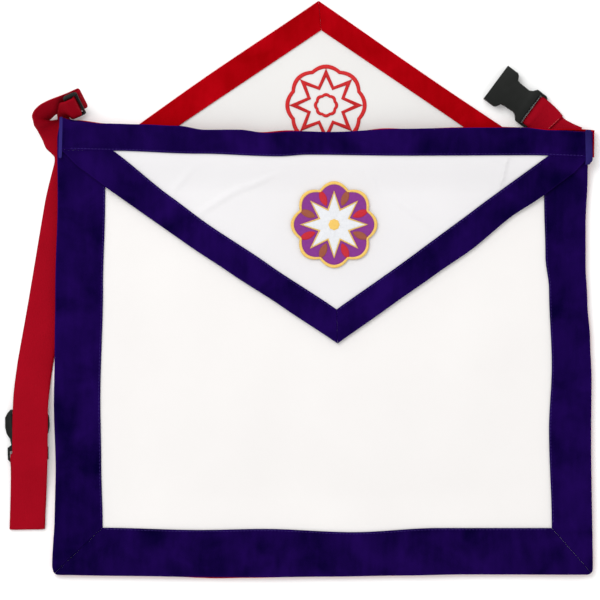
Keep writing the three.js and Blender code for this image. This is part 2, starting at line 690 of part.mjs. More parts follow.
// The reverse flap, turned up beyond the waist; its base lies under the waist.
function raisedSwell(x, y) {
  const across = x / RAISED_FLAP_WIDTH + 0.5;
  const down = 1 - (y - bandY(0)) / RAISED_FLAP_RISE;
  let rise = 0;
  for (const s of RAISED_SWELLS) {
    const r = Math.hypot(across - s.across, ((down - s.down) * RAISED_FLAP_RISE) / RAISED_FLAP_WIDTH);
    rise += s.rise * (1 - smooth(r, s.reach));
  }
  return rise;
}
const raisedPanelZ = (x, y) => raisedSwell(x, y);
const raisedBorderZ = (x, y) => raisedPanelZ(x, y) + CLOTH_STEP;
const RAISED_RUN = [0, 0.1, 0.2, 0.32, 0.44, 0.56, 0.68, 0.8, 0.9, 1];
const RAISED_OPEN = [0, 0.12, 0.24, 0.36, 0.5, 0.64, 0.76, 0.88, 1];
function raisedRow(share) {
  const y0 = bandY(0);
  const half = RAISED_FLAP_WIDTH / 2;
  const slope = Math.atan2(RAISED_FLAP_RISE, half);
  const leftBase = [-half - 2.4, y0];
  const rightBase = [half - 2.4, y0];
  const tip = [RAISED_FLAP_TIP_OFFSET, y0 + RAISED_FLAP_RISE];
  const innerTip = [tip[0] + 2, tip[1] - RAISED_FLAP_BORDER / Math.cos(slope) - 1.8];
  const leftInner = [leftBase[0] + RAISED_FLAP_BORDER / Math.sin(slope), y0];
  const rightInner = [rightBase[0] - RAISED_FLAP_BORDER / Math.sin(slope), y0];
  return [
    bowed(leftBase, tip, share, RAISED_FLAP_OUTER_BOW, 'left', -1),
    bowed(leftInner, innerTip, share, RAISED_FLAP_OUTER_BOW, 'left', 0),
    bowed(rightInner, innerTip, share, RAISED_FLAP_OUTER_BOW, 'right', 0),
    bowed(rightBase, tip, share, RAISED_FLAP_OUTER_BOW, 'right', 1),
  ];
}
function raisedFlapPanel() {
  const inset = 1.6 * PANEL_INSET;
  const rows = RAISED_RUN.map((share) => {
    const [lo, li, ri, ro] = raisedRow(share);
    const pull = (p, q) => {
      const part = inset / Math.hypot(q[0] - p[0], q[1] - p[1]);
      return [mix(p[0], q[0], part), mix(p[1], q[1], part)];
    };
    const [a, d] = [pull(lo, li), pull(ro, ri)];
    const row = [a, [mix(a[0], li[0], 0.5), mix(a[1], li[1], 0.5)]];
    for (const part of RAISED_OPEN) row.push([mix(li[0], ri[0], part), mix(li[1], ri[1], part)]);
    row.push([mix(ri[0], d[0], 0.5), mix(ri[1], d[1], 0.5)], d);
    return row;
  });
  const cells = gridCells(rows, (j, i) => i < 2);
  return slab(cells, raisedPanelZ, (x, y) => raisedPanelZ(x, y) + CLOTH_THICKNESS);
}
function raisedFlapBorder(side) {
  const sign = side === 'left' ? -1 : 1;
  const outer = [];
  const inner = [];
  for (const share of RAISED_RUN) {
    const row = raisedRow(share);
    const shift = share === 1 ? sign * MITRE_GAP : 0;
    const o = side === 'left' ? row[0] : row[3];
    const i = side === 'left' ? row[1] : row[2];
    outer.push([o[0] + shift, o[1]]);
    inner.push([i[0] + shift, i[1]]);
  }
  return hemmedStrip(outer, inner, raisedBorderZ, CLOTH_STEP - 0.15, [0.5, 1]);
}

// Embroidered ornaments: a lobed outline with raised rings, flat on the cloth under them.
function highest(zOf, cx, cy, radius) {
  let top = -Infinity;
  for (let i = 0; i <= 8; i += 1) {
    for (let j = 0; j <= 8; j += 1) {
      const x = cx + radius * (i / 4 - 1);
      const y = cy + radius * (j / 4 - 1);
      if (Math.hypot(x - cx, y - cy) <= radius) top = Math.max(top, zOf(x, y));
    }
  }
  return top;
}
function lobed(radius, lobes, depth, steps, turn) {
  const points = [];
  for (let i = 0; i < steps; i += 1) {
    const angle = (2 * Math.PI * i) / steps;
    const r = radius * (1 - depth + depth * Math.abs(Math.cos((lobes * angle) / 2 + turn)));
    points.push(new THREE.Vector2(r * Math.cos(angle), r * Math.sin(angle)));
  }
  return new THREE.Shape(points);
}
function plate(shape, thickness, x, y, z) {
  const geometry = new THREE.ExtrudeGeometry(shape, { depth: thickness, bevelEnabled: false, curveSegments: 8 });
  geometry.translate(x, y, z);
  return geometry;
}

// A ribbon of webbing along a run of sections. Each section has its middle point and the two half lines
// across the strap, so that the strap may bend along its length where the apron holds it down.
function ribbon(sections) {
  const half = STRAP_THICKNESS / 2;
  const loops = sections.map((s, i) => {
    const before = sections[Math.max(0, i - 1)].middle;
    const after = sections[Math.min(sections.length - 1, i + 1)].middle;
    const along = after.clone().sub(before).normalize();
    const normalOuter = new THREE.Vector3().crossVectors(along, s.outer).normalize();
    const normalInner = new THREE.Vector3().crossVectors(along, s.inner).normalize();
    const normalMiddle = normalOuter.clone().add(normalInner).normalize();
    const reach = (STRAP_WIDTH / 2) * (s.share || 1);
    const outer = s.middle.clone().addScaledVector(s.outer, reach);
    const inner = s.middle.clone().addScaledVector(s.inner, -reach);
    const point = (p, n, side) => p.clone().addScaledVector(n, side * half).toArray();
    return [
      point(outer, normalOuter, 1),
      point(s.middle, normalMiddle, 1),
      point(inner, normalInner, 1),
      point(inner, normalInner, -1),
      point(s.middle, normalMiddle, -1),
      point(outer, normalOuter, -1),
    ];
  });
  return loft(loops, [[14, 1], [0, 1.3], [-14, 1], [-14, -1], [0, -1.3], [14, -1]]);
}
function headingVector(turn, rise) {
  const c = Math.cos(radians(rise));
  return new THREE.Vector3(c * Math.cos(radians(turn)), c * Math.sin(radians(turn)), Math.sin(radians(rise)));
}

// The slide adjuster's own axes: long runs along its bars, deep across them, up out of its upper face.
const SLIDE_PLACE = { x: 0.574, y: 0.615, z: 18.4 };
function slideAxes() {
  const flat = headingVector(SLIDE_HEADING, 0);
  const deep = headingVector(SLIDE_HEADING + 90, 0);
  const tilt = radians(SLIDE_TILT);
  const rise = new THREE.Vector3(0, 0, 1);
  const long = flat.clone().multiplyScalar(Math.cos(tilt)).addScaledVector(rise, -Math.sin(tilt));
  const up = rise.clone().multiplyScalar(Math.cos(tilt)).addScaledVector(flat, Math.sin(tilt));
  const place = new THREE.Vector3(
    CORNER.x + SLIDE_PLACE.x * STRAP_WIDTH,
    CORNER.y + SLIDE_PLACE.y * STRAP_WIDTH,
    SLIDE_PLACE.z
  );
  return { long, deep, up, place };
}
const SLIDE_PITCH = SLIDE_SLOT + BAR_WIDTH;
const SLIDE_DEPTH = 2 * SLIDE_PITCH + BAR_WIDTH;
const SLIDE_LENGTH = STRAP_WIDTH + 2 * (BAR_CLEARANCE + SLIDE_WALL);

// The strap's way through the slide: deep as a share of the bars' pitch, over as a count of the clear height
// of a strap lying on a bar.
const THREADING = [
  { deep: -1.25, over: 1.0 },
  { deep: -0.6, over: 1.0 },
  { deep: 0.02, over: 1.0 },
  { deep: 0.3, over: 0.86 },
  { deep: 0.46, over: 0.4 },
  { deep: 0.54, over: -0.4 },
  { deep: 0.7, over: -0.88 },
  { deep: 1.0, over: -1.0 },
  { deep: 1.5, over: -1.02 },
  { deep: 1.72, over: -1.16 },
  { deep: 1.83, over: -1.46 },
  { deep: 1.72, over: -1.76 },
  { deep: 1.5, over: -1.88 },
  { deep: 0.9, over: -1.88 },
  { deep: 0.2, over: -1.86 },
];
// Sections of the left strap. x and y place its middle line, z lifts it in millimetres, turn is the heading of
// the line across the strap towards its outer edge, lean and tuck are the rise of its outer and inner half.
// share is its width where it is gathered. From the sewn end under the waist to the slide.
const ANCHOR_RUN = [
  { x: 0.46, y: -0.62, z: 2.2, turn: 180, lean: 0, tuck: 0, share: 0.82 },
  { x: 0.364, y: -0.2, z: 1.8, turn: 176, lean: 1, tuck: 0, share: 0.65 },
  { x: 0.3, y: 0.099, z: 1.5, turn: 168, lean: 3, tuck: 0, share: 0.5 },
  { x: 0.253, y: 0.284, z: 1.7, turn: 158, lean: 12, tuck: 4, share: 0.44 },
  { x: 0.268, y: 0.346, z: 6.4, turn: 142, lean: 45, tuck: 39, share: 0.62 },
  { x: 0.284, y: 0.463, z: 14.8, turn: 122, lean: 57, tuck: 68, share: 0.85 },
];
// From the slide round the arched loop, under the left edge and down the long strap to the fold at its end.
const LOOP_RUN = [
  { x: 0.39, y: 0.7, z: 15.4, turn: 109, lean: 63, tuck: 63 },
  { x: 0.19, y: 0.675, z: 14.6, turn: 107, lean: 69, tuck: 69 },
  { x: -0.07, y: 0.56, z: 13.8, turn: 116, lean: 67, tuck: 67 },
  { x: -0.254, y: 0.44, z: 12.9, turn: 130, lean: 64, tuck: 64 },
  { x: -0.358, y: 0.341, z: 12.8, turn: 149, lean: 64, tuck: 64 },
  { x: -0.39, y: 0.26, z: 12.7, turn: 167, lean: 64, tuck: 64 },
  { x: -0.3, y: 0.175, z: 11.6, turn: 187, lean: 57, tuck: 54 },
  { x: -0.2, y: 0.146, z: 8.2, turn: 197, lean: 42, tuck: 32 },
  { x: -0.07, y: 0.099, z: 3.3, turn: 204, lean: 25, tuck: 10 },
  { x: 0.07, y: -0.085, z: 1.3, turn: 206, lean: 6, tuck: 2 },
  { x: 0.172, y: -0.324, z: 0.75, turn: 208, lean: 1, tuck: 0 },
  { x: 0.344, y: -0.532, z: 0.62, turn: 200, lean: 0, tuck: 0 },
  { x: 0.47, y: -0.775, z: 0.6, turn: 185, lean: 0, tuck: 0 },
  { x: 0.46, y: -1.085, z: 0.6, turn: 170, lean: 0, tuck: 0 },
  { x: 0.208, y: -2.13, z: 0.6, turn: 168, lean: 0, tuck: 0 },
  { x: -0.262, y: -4.93, z: 0.6, turn: 170, lean: 0, tuck: 0 },
  { x: -0.56, y: -6.6, z: 0.62, turn: 170.5, lean: 0, tuck: 0 },
  { x: -0.615, y: -7.0, z: 1.6, turn: 171, lean: 0, tuck: 0 },
  { x: -0.655, y: -7.35, z: 4.2, turn: 172, lean: 0, tuck: 0 },
  { x: -0.682, y: -7.7, z: 6.7, turn: 173.5, lean: 0, tuck: 0 },
  { x: -0.695, y: -8.2, z: 7.5, turn: 176, lean: 0, tuck: 0 },
  { x: -0.703, y: -9.0, z: 7.6, turn: 178, lean: 0, tuck: 0 },
  { x: -0.712, y: -9.5, z: 7.4, turn: 179, lean: 0, tuck: 0 },
  { x: -0.727, y: -9.9, z: 5.4, turn: 180, lean: 0, tuck: 0 },
  { x: -0.75, y: -10.4, z: 3.3, turn: 181, lean: 0, tuck: 0 },
  { x: -0.778, y: -10.95, z: 2.5, turn: 181, lean: 0, tuck: 0 },
];
// The strap's doubled end, from the fold back to the male buckle's bar, round it and onto itself: back is the
// distance from the buckle's foot towards the fold, z the height, side the shift across, all in millimetres.
const RETURN_RUN = [
  { back: 38, z: 0.6, side: -0.6 },
  { back: 20, z: 0.6, side: -0.2 },
  { back: 6, z: 0.6, side: 0 },
  { back: 0.6, z: 0.62, side: 0 },
  { back: -2.2, z: 0.62, side: 0 },
  { back: -4.6, z: 0.9, side: 0 },
  { back: -5.8, z: 2.1, side: 0 },
  { back: -5.9, z: 4.4, side: 0 },
  { back: -4.6, z: 5.5, side: 0 },
  { back: -2.2, z: 5.78, side: 0 },
  { back: 0.6, z: 5.6, side: 0 },
  { back: 3.6, z: 4.0, side: 0 },
  { back: 7.0, z: 2.5, side: 0 },
  { back: 12, z: 2.15, side: 0 },
];
function beltLeft() {
  const { long, deep, up, place } = slideAxes();
  const clear = SLIDE_THICKNESS / 2 + 0.3 + STRAP_THICKNESS / 2;
  const at = (x, y, z) => new THREE.Vector3(CORNER.x + x * STRAP_WIDTH, CORNER.y + y * STRAP_WIDTH, z);
  const rowSection = (r) => ({
    middle: at(r.x, r.y, r.z),
    outer: headingVector(r.turn, r.lean),
    inner: headingVector(r.turn, r.tuck),
    share: r.share,
  });
  const flat = (middle, turn) => ({ middle, outer: headingVector(turn, 0), inner: headingVector(turn, 0) });
  const through = THREADING.map((r) => {
    const middle = place.clone().addScaledVector(deep, r.deep * SLIDE_PITCH).addScaledVector(up, r.over * clear);
    const across = long.clone().negate();
    return { middle, outer: across, inner: across.clone() };
  });
  const fold = at(FOLD_PLACE.x, FOLD_PLACE.y, 0);
  const radius = 0.95;
  const bend = [90, 45, 0, -45, -90].map((angle) => {
    const s = radians(angle);
    const z = STRAP_THICKNESS / 2 + radius * (1 + Math.sin(s));
    return flat(new THREE.Vector3(fold.x, fold.y - radius * Math.cos(s), z), 181);
  });
  const foot = at(MALE_PLACE.x, MALE_PLACE.y, 0);
  const doubled = RETURN_RUN.map((r) => flat(new THREE.Vector3(foot.x + r.side, foot.y - r.back, r.z), 181.5));
  return ribbon([
    ...ANCHOR_RUN.map(rowSection),
    ...through,
    ...LOOP_RUN.map(rowSection),
    ...bend,
    ...doubled,
  ]);
}

// Frame outline with a strap slot, used by the slide and both buckle halves.
function rectangle(x0, y0, x1, y1, corner = 0) {
  const shape = new THREE.Shape();
  if (!corner) {
    shape.moveTo(x0, y0).lineTo(x1, y0).lineTo(x1, y1).lineTo(x0, y1).lineTo(x0, y0);
    return shape;
  }
  const c = corner;
  shape.moveTo(x0 + c, y0).lineTo(x1 - c, y0).lineTo(x1, y0 + c).lineTo(x1, y1 - c);
  shape.lineTo(x1 - c, y1).lineTo(x0 + c, y1).lineTo(x0, y1 - c).lineTo(x0, y0 + c).lineTo(x0 + c, y0);
  return shape;
}
function slideAdjuster() {
  const { long, deep, up, place } = slideAxes();
  const halfLong = SLIDE_LENGTH / 2;
  const halfDeep = SLIDE_DEPTH / 2;
  const shape = rectangle(-halfLong, -halfDeep, halfLong, halfDeep, 1.6);
  const slotHalf = STRAP_WIDTH / 2 + BAR_CLEARANCE;
  for (const side of [-1, 1]) {
    const near = (side * BAR_WIDTH) / 2;
    const far = near + side * SLIDE_SLOT;
    shape.holes.push(rectangle(-slotHalf, Math.min(near, far), slotHalf, Math.max(near, far)));
  }
  const geometry = new THREE.ExtrudeGeometry(shape, {
    depth: SLIDE_THICKNESS - 0.8,
    bevelEnabled: true,
    bevelThickness: 0.4,
    bevelSize: 0.35,
    bevelOffset: -0.35,
    bevelSegments: 1,
  });
  geometry.translate(0, 0, -(SLIDE_THICKNESS - 0.8) / 2);
  const basis = new THREE.Matrix4().makeBasis(long, deep, up).setPosition(place);
  geometry.applyMatrix4(basis);
  return geometry;
}

// The male half lies under the strap's end, prongs towards the waist. Rows give half widths along it.
const PRONG_SIDE = [
  { along: 0.0, from: 0.24, to: 0.42 },
  { along: 0.18, from: 0.3, to: 0.45 },
  { along: 0.32, from: 0.33, to: 0.53 },
  { along: 0.5, from: 0.36, to: 0.565 },
  { along: 0.78, from: 0.36, to: 0.56 },
  { along: 0.9, from: 0.36, to: 0.5 },
  { along: 1.0, from: 0.34, to: 0.42 },
];
function maleBuckle() {
  const half = STRAP_WIDTH / 2 + BAR_CLEARANCE + BUCKLE_WALL;
  const shape = new THREE.Shape();
  const right = PRONG_SIDE.map((r) => [r.to * MOUTH_WIDTH * 0.96, BASE_LENGTH + r.along * PRONG_LENGTH]);
  const inner = PRONG_SIDE.map((r) => [r.from * MOUTH_WIDTH, BASE_LENGTH + r.along * PRONG_LENGTH]).reverse();
  const guide = [[0.09, 0.0], [0.09, 0.72], [0.05, 0.8]].map(([w, a]) => [
    w * MOUTH_WIDTH,
    BASE_LENGTH + a * PRONG_LENGTH,
  ]);
  const side = [[half, 2], [half, BASE_LENGTH - 2], ...right, ...inner, ...guide];
  const mirrored = side.map(([x, y]) => [-x, y]).reverse();
  shape.moveTo(half - 2, 0);
  for (const [x, y] of side) shape.lineTo(x, y);
  for (const [x, y] of mirrored) shape.lineTo(x, y);
  shape.lineTo(-half + 2, 0);
  const slotHalf = STRAP_WIDTH / 2 + BAR_CLEARANCE;
  shape.holes.push(rectangle(-slotHalf, MALE_BAR, slotHalf, MALE_BAR + MALE_SLOT));
  const geometry = new THREE.ExtrudeGeometry(shape, { depth: PRONG_THICKNESS, bevelEnabled: false });
  geometry.rotateZ(radians(1.5));
  const lift = STRAP_THICKNESS + LAYER_GAP;
  geometry.translate(CORNER.x + MALE_PLACE.x * STRAP_WIDTH, CORNER.y + MALE_PLACE.y * STRAP_WIDTH, lift);
  return geometry;
}

// The female half: a hollow housing with a mouth, side windows, a waist and a frame with the strap's slot.
// along: share of BUCKLE_LENGTH from the mouth, half: half width as a share of MOUTH_WIDTH.
const HOUSING_SIDE = [
  { along: 0.0, half: 0.5 },
  { along: 0.245, half: 0.5 },
  { along: 0.29, half: 0.46 },
  { along: 0.33, half: 0.355 },
  { along: 0.4, half: 0.335 },
  { along: 0.62, half: 0.325 },
  { along: 0.68, half: 0.37 },
  { along: 0.735, half: 0.46 },
  { along: 0.77, half: 0.465 },
  { along: 0.955, half: 0.465 },
  { along: 1.0, half: 0.42 },
];
const FEMALE_BAR = 2.6;
const FEMALE_SLOT = 3.6;
const FEMALE_BAR_LOW = 1.9;
const FEMALE_BAR_HIGH = 3.9;
const FEMALE_FRAME_HIGH = 5.3;
// Middle of the buckle's mouth from the apron's middle line and top, as shares of BODY_WIDTH.
const MOUTH_PLACE = { x: 0.3216, y: 0.0852 };
function femaleAxes() {
  const axis = headingVector(BUCKLE_HEADING, 0);
  const mouth = new THREE.Vector3(MOUTH_PLACE.x * BODY_WIDTH, CORNER.y + MOUTH_PLACE.y * BODY_WIDTH, 0);
  return { axis, mouth };
}
async function femaleBuckle(wasm) {
  const side = HOUSING_SIDE.map((r) => [r.along * BUCKLE_LENGTH, r.half * MOUTH_WIDTH]);
  const outline = new THREE.Shape([
    ...side.map(([a, w]) => new THREE.Vector2(a, -w)),
    ...side.slice().reverse().map(([a, w]) => new THREE.Vector2(a, w)),
  ]);
  const slotHalf = (CURLED_SHARE * STRAP_WIDTH) / 2 + BAR_CLEARANCE;
  const slotEnd = BUCKLE_LENGTH - FEMALE_BAR;
  outline.holes.push(rectangle(slotEnd - FEMALE_SLOT, -slotHalf, slotEnd, slotHalf));
  const body = new THREE.ExtrudeGeometry(outline, {
    depth: BUCKLE_HEIGHT - 1.6,
    bevelEnabled: true,
    bevelThickness: 0.8,
    bevelSize: 0.45,
    bevelOffset: -0.45,
    bevelSegments: 1,
  });
  body.translate(0, 0, 0.8);
  const block = (from, to, half, low, high) => {
    const box = new THREE.BoxGeometry(to - from, 2 * half, high - low);
    return box.translate((from + to) / 2, 0, (low + high) / 2);
  };
  const L = BUCKLE_LENGTH;
  const tools = [
    block(-1, 0.33 * L, MOUTH_WIDTH / 2 - BUCKLE_WALL, 1.7, BUCKLE_HEIGHT - 1.7),
    block(0.2 * L, 0.62 * L, 0.23 * MOUTH_WIDTH, 1.9, BUCKLE_HEIGHT - 1.9),
    block(0.3 * L, 0.57 * L, MOUTH_WIDTH, 2.2, BUCKLE_HEIGHT - 2.2),
    block(slotEnd - FEMALE_SLOT - 1, L + 1, MOUTH_WIDTH, FEMALE_FRAME_HIGH, BUCKLE_HEIGHT + 1),
    block(slotEnd - 0.5, L + 1, slotHalf, FEMALE_BAR_HIGH, BUCKLE_HEIGHT),
    block(slotEnd - 0.5, L + 1, slotHalf, -1, FEMALE_BAR_LOW),
  ];
  let solid = manifoldOf(wasm, body);
  for (const tool of tools) solid = solid.subtract(manifoldOf(wasm, tool));
  const geometry = geometryFrom(solid);
  const { axis, mouth } = femaleAxes();
  const backwards = axis.clone().negate();
  const across = new THREE.Vector3(-backwards.y, backwards.x, 0);
  const basis = new THREE.Matrix4().makeBasis(backwards, across, new THREE.Vector3(0, 0, 1)).setPosition(mouth);
  geometry.applyMatrix4(basis);
  return geometry;
}
function manifoldOf(wasm, geometry) {
  const plain = geometry.index ? geometry : geometry.clone();
  const index = new Map();
  const vertices = [];
  const source = plain.getAttribute('position');
  const ids = [];
  for (let i = 0; i < source.count; i += 1) {
    const point = [source.getX(i), source.getY(i), source.getZ(i)];
    const key = point.map((v) => Math.round(v * 1e4)).join(',');
    if (!index.has(key)) {
      index.set(key, vertices.length / 3);
      vertices.push(...point);
    }
    ids.push(index.get(key));
  }
  const order = plain.index ? Array.from(plain.index.array) : ids.map((_, i) => i);
  const triangles = [];
  for (let i = 0; i < order.length; i += 3) {
    const [a, b, c] = [ids[order[i]], ids[order[i + 1]], ids[order[i + 2]]];
    if (a !== b && b !== c && c !== a) triangles.push(a, b, c);
  }
  const mesh = new wasm.Mesh({
    numProp: 3,
    vertProperties: new Float32Array(vertices),
    triVerts: new Uint32Array(triangles),
  });
  return new wasm.Manifold(mesh);
}
function geometryFrom(solid) {
  const mesh = solid.getMesh();
  const geometry = new THREE.BufferGeometry();
  geometry.setAttribute('position', new THREE.Float32BufferAttribute(Array.from(mesh.vertProperties), 3));
  geometry.setIndex(Array.from(mesh.triVerts));
  geometry.computeVertexNormals();
  return geometry;
}

// The right strap, from the short end sewn on top, over the buckle's bar, back under it and on to its sewn end
// under the waist. along: distance from the mouth, side: shift across, swing: heading of the line across.
const RIGHT_RUN = [
  { along: 54.2, side: -3.2, z: 2.6, swing: -10, share: 1 },
  { along: 51.0, side: -2.4, z: 2.62, swing: -10, share: 1 },
  { along: 46.5, side: -1.2, z: 2.9, swing: -8, share: 0.975 },
  { along: 42.6, side: -0.3, z: 3.75, swing: -4, share: 0.94 },
  { along: 39.4, side: 0, z: 4.88, swing: 0, share: CURLED_SHARE },
  { along: 37.6, side: 0, z: 4.9, swing: 0, share: CURLED_SHARE },
  { along: 36.0, side: 0, z: 4.6, swing: 0, share: CURLED_SHARE },
  { along: 35.1, side: 0, z: 3.9, swing: 0, share: CURLED_SHARE },
  { along: 34.85, side: 0, z: 2.9, swing: 0, share: CURLED_SHARE },
  { along: 35.1, side: 0, z: 1.95, swing: 0, share: CURLED_SHARE },
  { along: 36.2, side: 0, z: 1.05, swing: 0, share: CURLED_SHARE },
  { along: 38.2, side: 0, z: 0.9, swing: 0, share: CURLED_SHARE },
  { along: 42.0, side: -0.3, z: 0.8, swing: -5, share: 0.95 },
  { along: 46.5, side: -1.4, z: 0.75, swing: -9, share: 1 },
  { along: 52.0, side: -3.2, z: 0.8, swing: -10, share: 1 },
  { along: 58.0, side: -4.4, z: 1.2, swing: -2, share: 1 },
  { along: 64.0, side: -4.1, z: 1.6, swing: 6, share: 1 },
  { along: 70.0, side: -3.0, z: 1.8, swing: 10, share: 1 },
  { along: 76.0, side: -1.6, z: 1.9, swing: 10, share: 1 },
];
function beltRight() {
  const { axis, mouth } = femaleAxes();
  const back = axis.clone().negate();
  const up = new THREE.Vector3(0, 0, 1);
  const across = new THREE.Vector3().crossVectors(up, back);
  const shift = BUCKLE_LENGTH - 39.5;
  const sections = RIGHT_RUN.map((r) => {
    const middle = mouth.clone().addScaledVector(back, r.along + shift).addScaledVector(across, r.side);
    middle.z = r.z;
    const line = across.clone().applyAxisAngle(up, radians(r.swing));
    return { middle, outer: line, inner: line.clone(), share: r.share };
  });
  return ribbon(sections);
}

// Eight-lobed and star-shaped plates for the embroidery.
function starShape(outer, inner, points, turn) {
  const list = [];
  for (let i = 0; i < 2 * points; i += 1) {
    const angle = (Math.PI * i) / points + turn;
    const r = i % 2 ? inner : outer;
    list.push(new THREE.Vector2(r * Math.cos(angle), r * Math.sin(angle)));
  }
  return new THREE.Shape(list);
}
function frontEmblem(wasm) {
  const x = 0.0204 * BODY_WIDTH;
  const y = bandY(0) - FRONT_EMBLEM_DROP;
  const radius = FRONT_EMBLEM_SIZE / 2;
  const z = highest(frontFlapZ, x, y, radius) + CLOTH_THICKNESS + 0.2;
  const base = plate(lobed(radius, 8, 0.14, 64, 0), EMBROIDERY_THICKNESS, x, y, z);
  const star = plate(starShape(0.74 * radius, 0.34 * radius, 8, 0), EMBROIDERY_THICKNESS + 0.6, x, y, z);
  return geometryFrom(manifoldOf(wasm, base).add(manifoldOf(wasm, star)));
}
function backEmblem(wasm) {
  const x = 0.0054 * BODY_WIDTH;
  const y = bandY(0) + RAISED_EMBLEM_RISE;
  const radius = RAISED_EMBLEM_SIZE / 2;
  const z = highest(raisedPanelZ, x, y, radius) + CLOTH_THICKNESS + 0.25;
  const line = 0.1 * radius;
  const flat = (shape, lift = 0) => plate(shape, EMBROIDERY_THICKNESS + lift, x, y, z);
  const ring = manifoldOf(wasm, flat(lobed(radius, 8, 0.08, 64, 0)));
  const hole = manifoldOf(wasm, plate(lobed(radius - line, 8, 0.08, 64, 0), 9, x, y, z - 3));
  const star = manifoldOf(wasm, flat(starShape(0.94 * radius, 0.5 * radius, 8, 0)));
  const starHole = manifoldOf(
    wasm,
    plate(starShape(0.94 * radius - 2.2 * line, 0.5 * radius - line, 8, 0), 9, x, y, z - 3)
  );
  return geometryFrom(ring.subtract(hole).add(star.subtract(starHole)));
}

// Assembly.
const PURPLE = { color: 0x1b0a55, roughness: 0.92, metalness: 0 };
const RED = { color: 0xa80a14, roughness: 0.85, metalness: 0 };
const WHITE = { color: 0xf3f1ee, roughness: 0.9, metalness: 0 };
const WEBBING = { color: 0xa50d1c, roughness: 0.75, metalness: 0 };
const PLASTIC = { color: 0x1c1e1c, roughness: 0.45, metalness: 0 };
const GOLD = { color: 0xd9a63c, roughness: 0.6, metalness: 0 };

const wasm = await Module();
wasm.setup();
const group = new THREE.Group();
group.name = 'apron';
const PIECES = [
  ['front_panel', WHITE, bodyPanel(frontPanelZ, 0)],
  ['front_border_left', PURPLE, sideBorder('left', frontBorderZ, CLOTH_STEP, true)],
  ['front_border_right', PURPLE, sideBorder('right', frontBorderZ, CLOTH_STEP, true)],
  ['front_border_bottom', PURPLE, footBorder(frontBorderZ, CLOTH_STEP, () => 0)],
  ['front_flap_panel', WHITE, frontFlapPanel()],
  ['front_flap_border_left', PURPLE, frontFlapBorder('left')],
  ['front_flap_border_right', PURPLE, frontFlapBorder('right')],
  ['front_top_band', PURPLE, frontTopBand()],
  ['front_emblem', GOLD, frontEmblem(wasm)],
  ['back_panel', WHITE, bodyPanel(backPanelZ, 2)],
  ['back_border_left', RED, sideBorder('left', backBorderZ, -CLOTH_STEP, false)],
  ['back_border_right', RED, sideBorder('right', backBorderZ, -CLOTH_STEP, false)],
  [
    'back_border_bottom',
    RED,
    footBorder(backBorderZ, -CLOTH_STEP, (x) => BODY_WIDTH * read(FOOT_FRINGE, acrossOf(x))),
  ],
  ['back_top_band', RED, backTopBand()],
  ['back_flap_panel', WHITE, raisedFlapPanel()],
  ['back_flap_border_left', RED, raisedFlapBorder('left')],
  ['back_flap_border_right', RED, raisedFlapBorder('right')],
  ['back_emblem', RED, backEmblem(wasm)],
  ['belt_left', WEBBING, beltLeft()],
  ['slide_adjuster', PLASTIC, slideAdjuster()],
  ['male_buckle', PLASTIC, maleBuckle()],
  ['belt_right', WEBBING, beltRight()],
  ['female_buckle', PLASTIC, await femaleBuckle(wasm)],
];
const bounds = new THREE.Box3();
for (const [, , geometry] of PIECES) {
  geometry.computeBoundingBox();
  bounds.union(geometry.boundingBox);
}
const middle = bounds.getCenter(new THREE.Vector3());
for (const [name, material, geometry] of PIECES) {
  geometry.translate(-middle.x, -middle.y, -bounds.min.z);
  const mesh = new THREE.Mesh(geometry, new THREE.MeshStandardMaterial(material));
  mesh.name = name;
  group.add(mesh);
}

export default group;
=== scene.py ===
"""Reversible lodge apron and its webbing belt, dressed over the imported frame.

Every soft piece is a surface worked out over the plan of the apron, in millimetres from the middle of the apron's
body, and is put into the row frame in metres when its mesh is made. The plastic pieces are the frame's own shapes
with softened edges.
"""
import logging
import math
from dataclasses import dataclass, field
from enum import Enum
from functools import reduce
from typing import Callable, Optional, Sequence

import bmesh
import bpy
import numpy as np
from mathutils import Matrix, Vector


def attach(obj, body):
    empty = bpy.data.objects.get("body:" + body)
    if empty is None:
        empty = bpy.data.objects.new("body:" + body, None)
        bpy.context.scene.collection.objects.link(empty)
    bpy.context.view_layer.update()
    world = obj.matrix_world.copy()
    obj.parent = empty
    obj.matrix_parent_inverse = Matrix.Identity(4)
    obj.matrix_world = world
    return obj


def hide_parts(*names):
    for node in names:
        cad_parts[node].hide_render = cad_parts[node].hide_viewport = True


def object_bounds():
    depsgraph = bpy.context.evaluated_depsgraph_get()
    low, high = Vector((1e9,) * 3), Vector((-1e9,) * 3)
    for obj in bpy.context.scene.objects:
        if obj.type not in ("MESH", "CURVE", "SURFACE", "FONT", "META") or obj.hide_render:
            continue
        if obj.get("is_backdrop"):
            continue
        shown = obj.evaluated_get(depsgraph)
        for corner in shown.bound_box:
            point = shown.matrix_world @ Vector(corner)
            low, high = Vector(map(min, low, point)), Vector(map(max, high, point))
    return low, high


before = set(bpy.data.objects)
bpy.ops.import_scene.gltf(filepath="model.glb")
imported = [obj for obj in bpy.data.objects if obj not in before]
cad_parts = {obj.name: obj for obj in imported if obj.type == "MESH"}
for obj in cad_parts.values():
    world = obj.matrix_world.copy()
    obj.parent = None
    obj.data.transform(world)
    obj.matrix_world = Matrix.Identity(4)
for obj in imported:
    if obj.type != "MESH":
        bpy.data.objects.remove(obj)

LOG = logging.getLogger("apron")
Array = np.ndarray
Rows = Sequence[tuple[float, ...]]
Height = Callable[[Array, Array], Array]

# The middle of the apron's body in the row frame, and the size of a millimetre.
BODY_MIDDLE = np.array([17.816, -47.623, 0.0])
MILLIMETRE = 0.001


class Held(Enum):
    """How a sheet of cloth is held."""

    LAID = "laid"
    FOLDED = "folded"


class Slot(Enum):
    """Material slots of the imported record."""

    WHITE = "white_cloth"
    PURPLE = "purple_velvet"
    RED = "red_cloth"
    THREAD = "embroidery"
    WEBBING = "webbing"
    PLASTIC = "black_plastic"


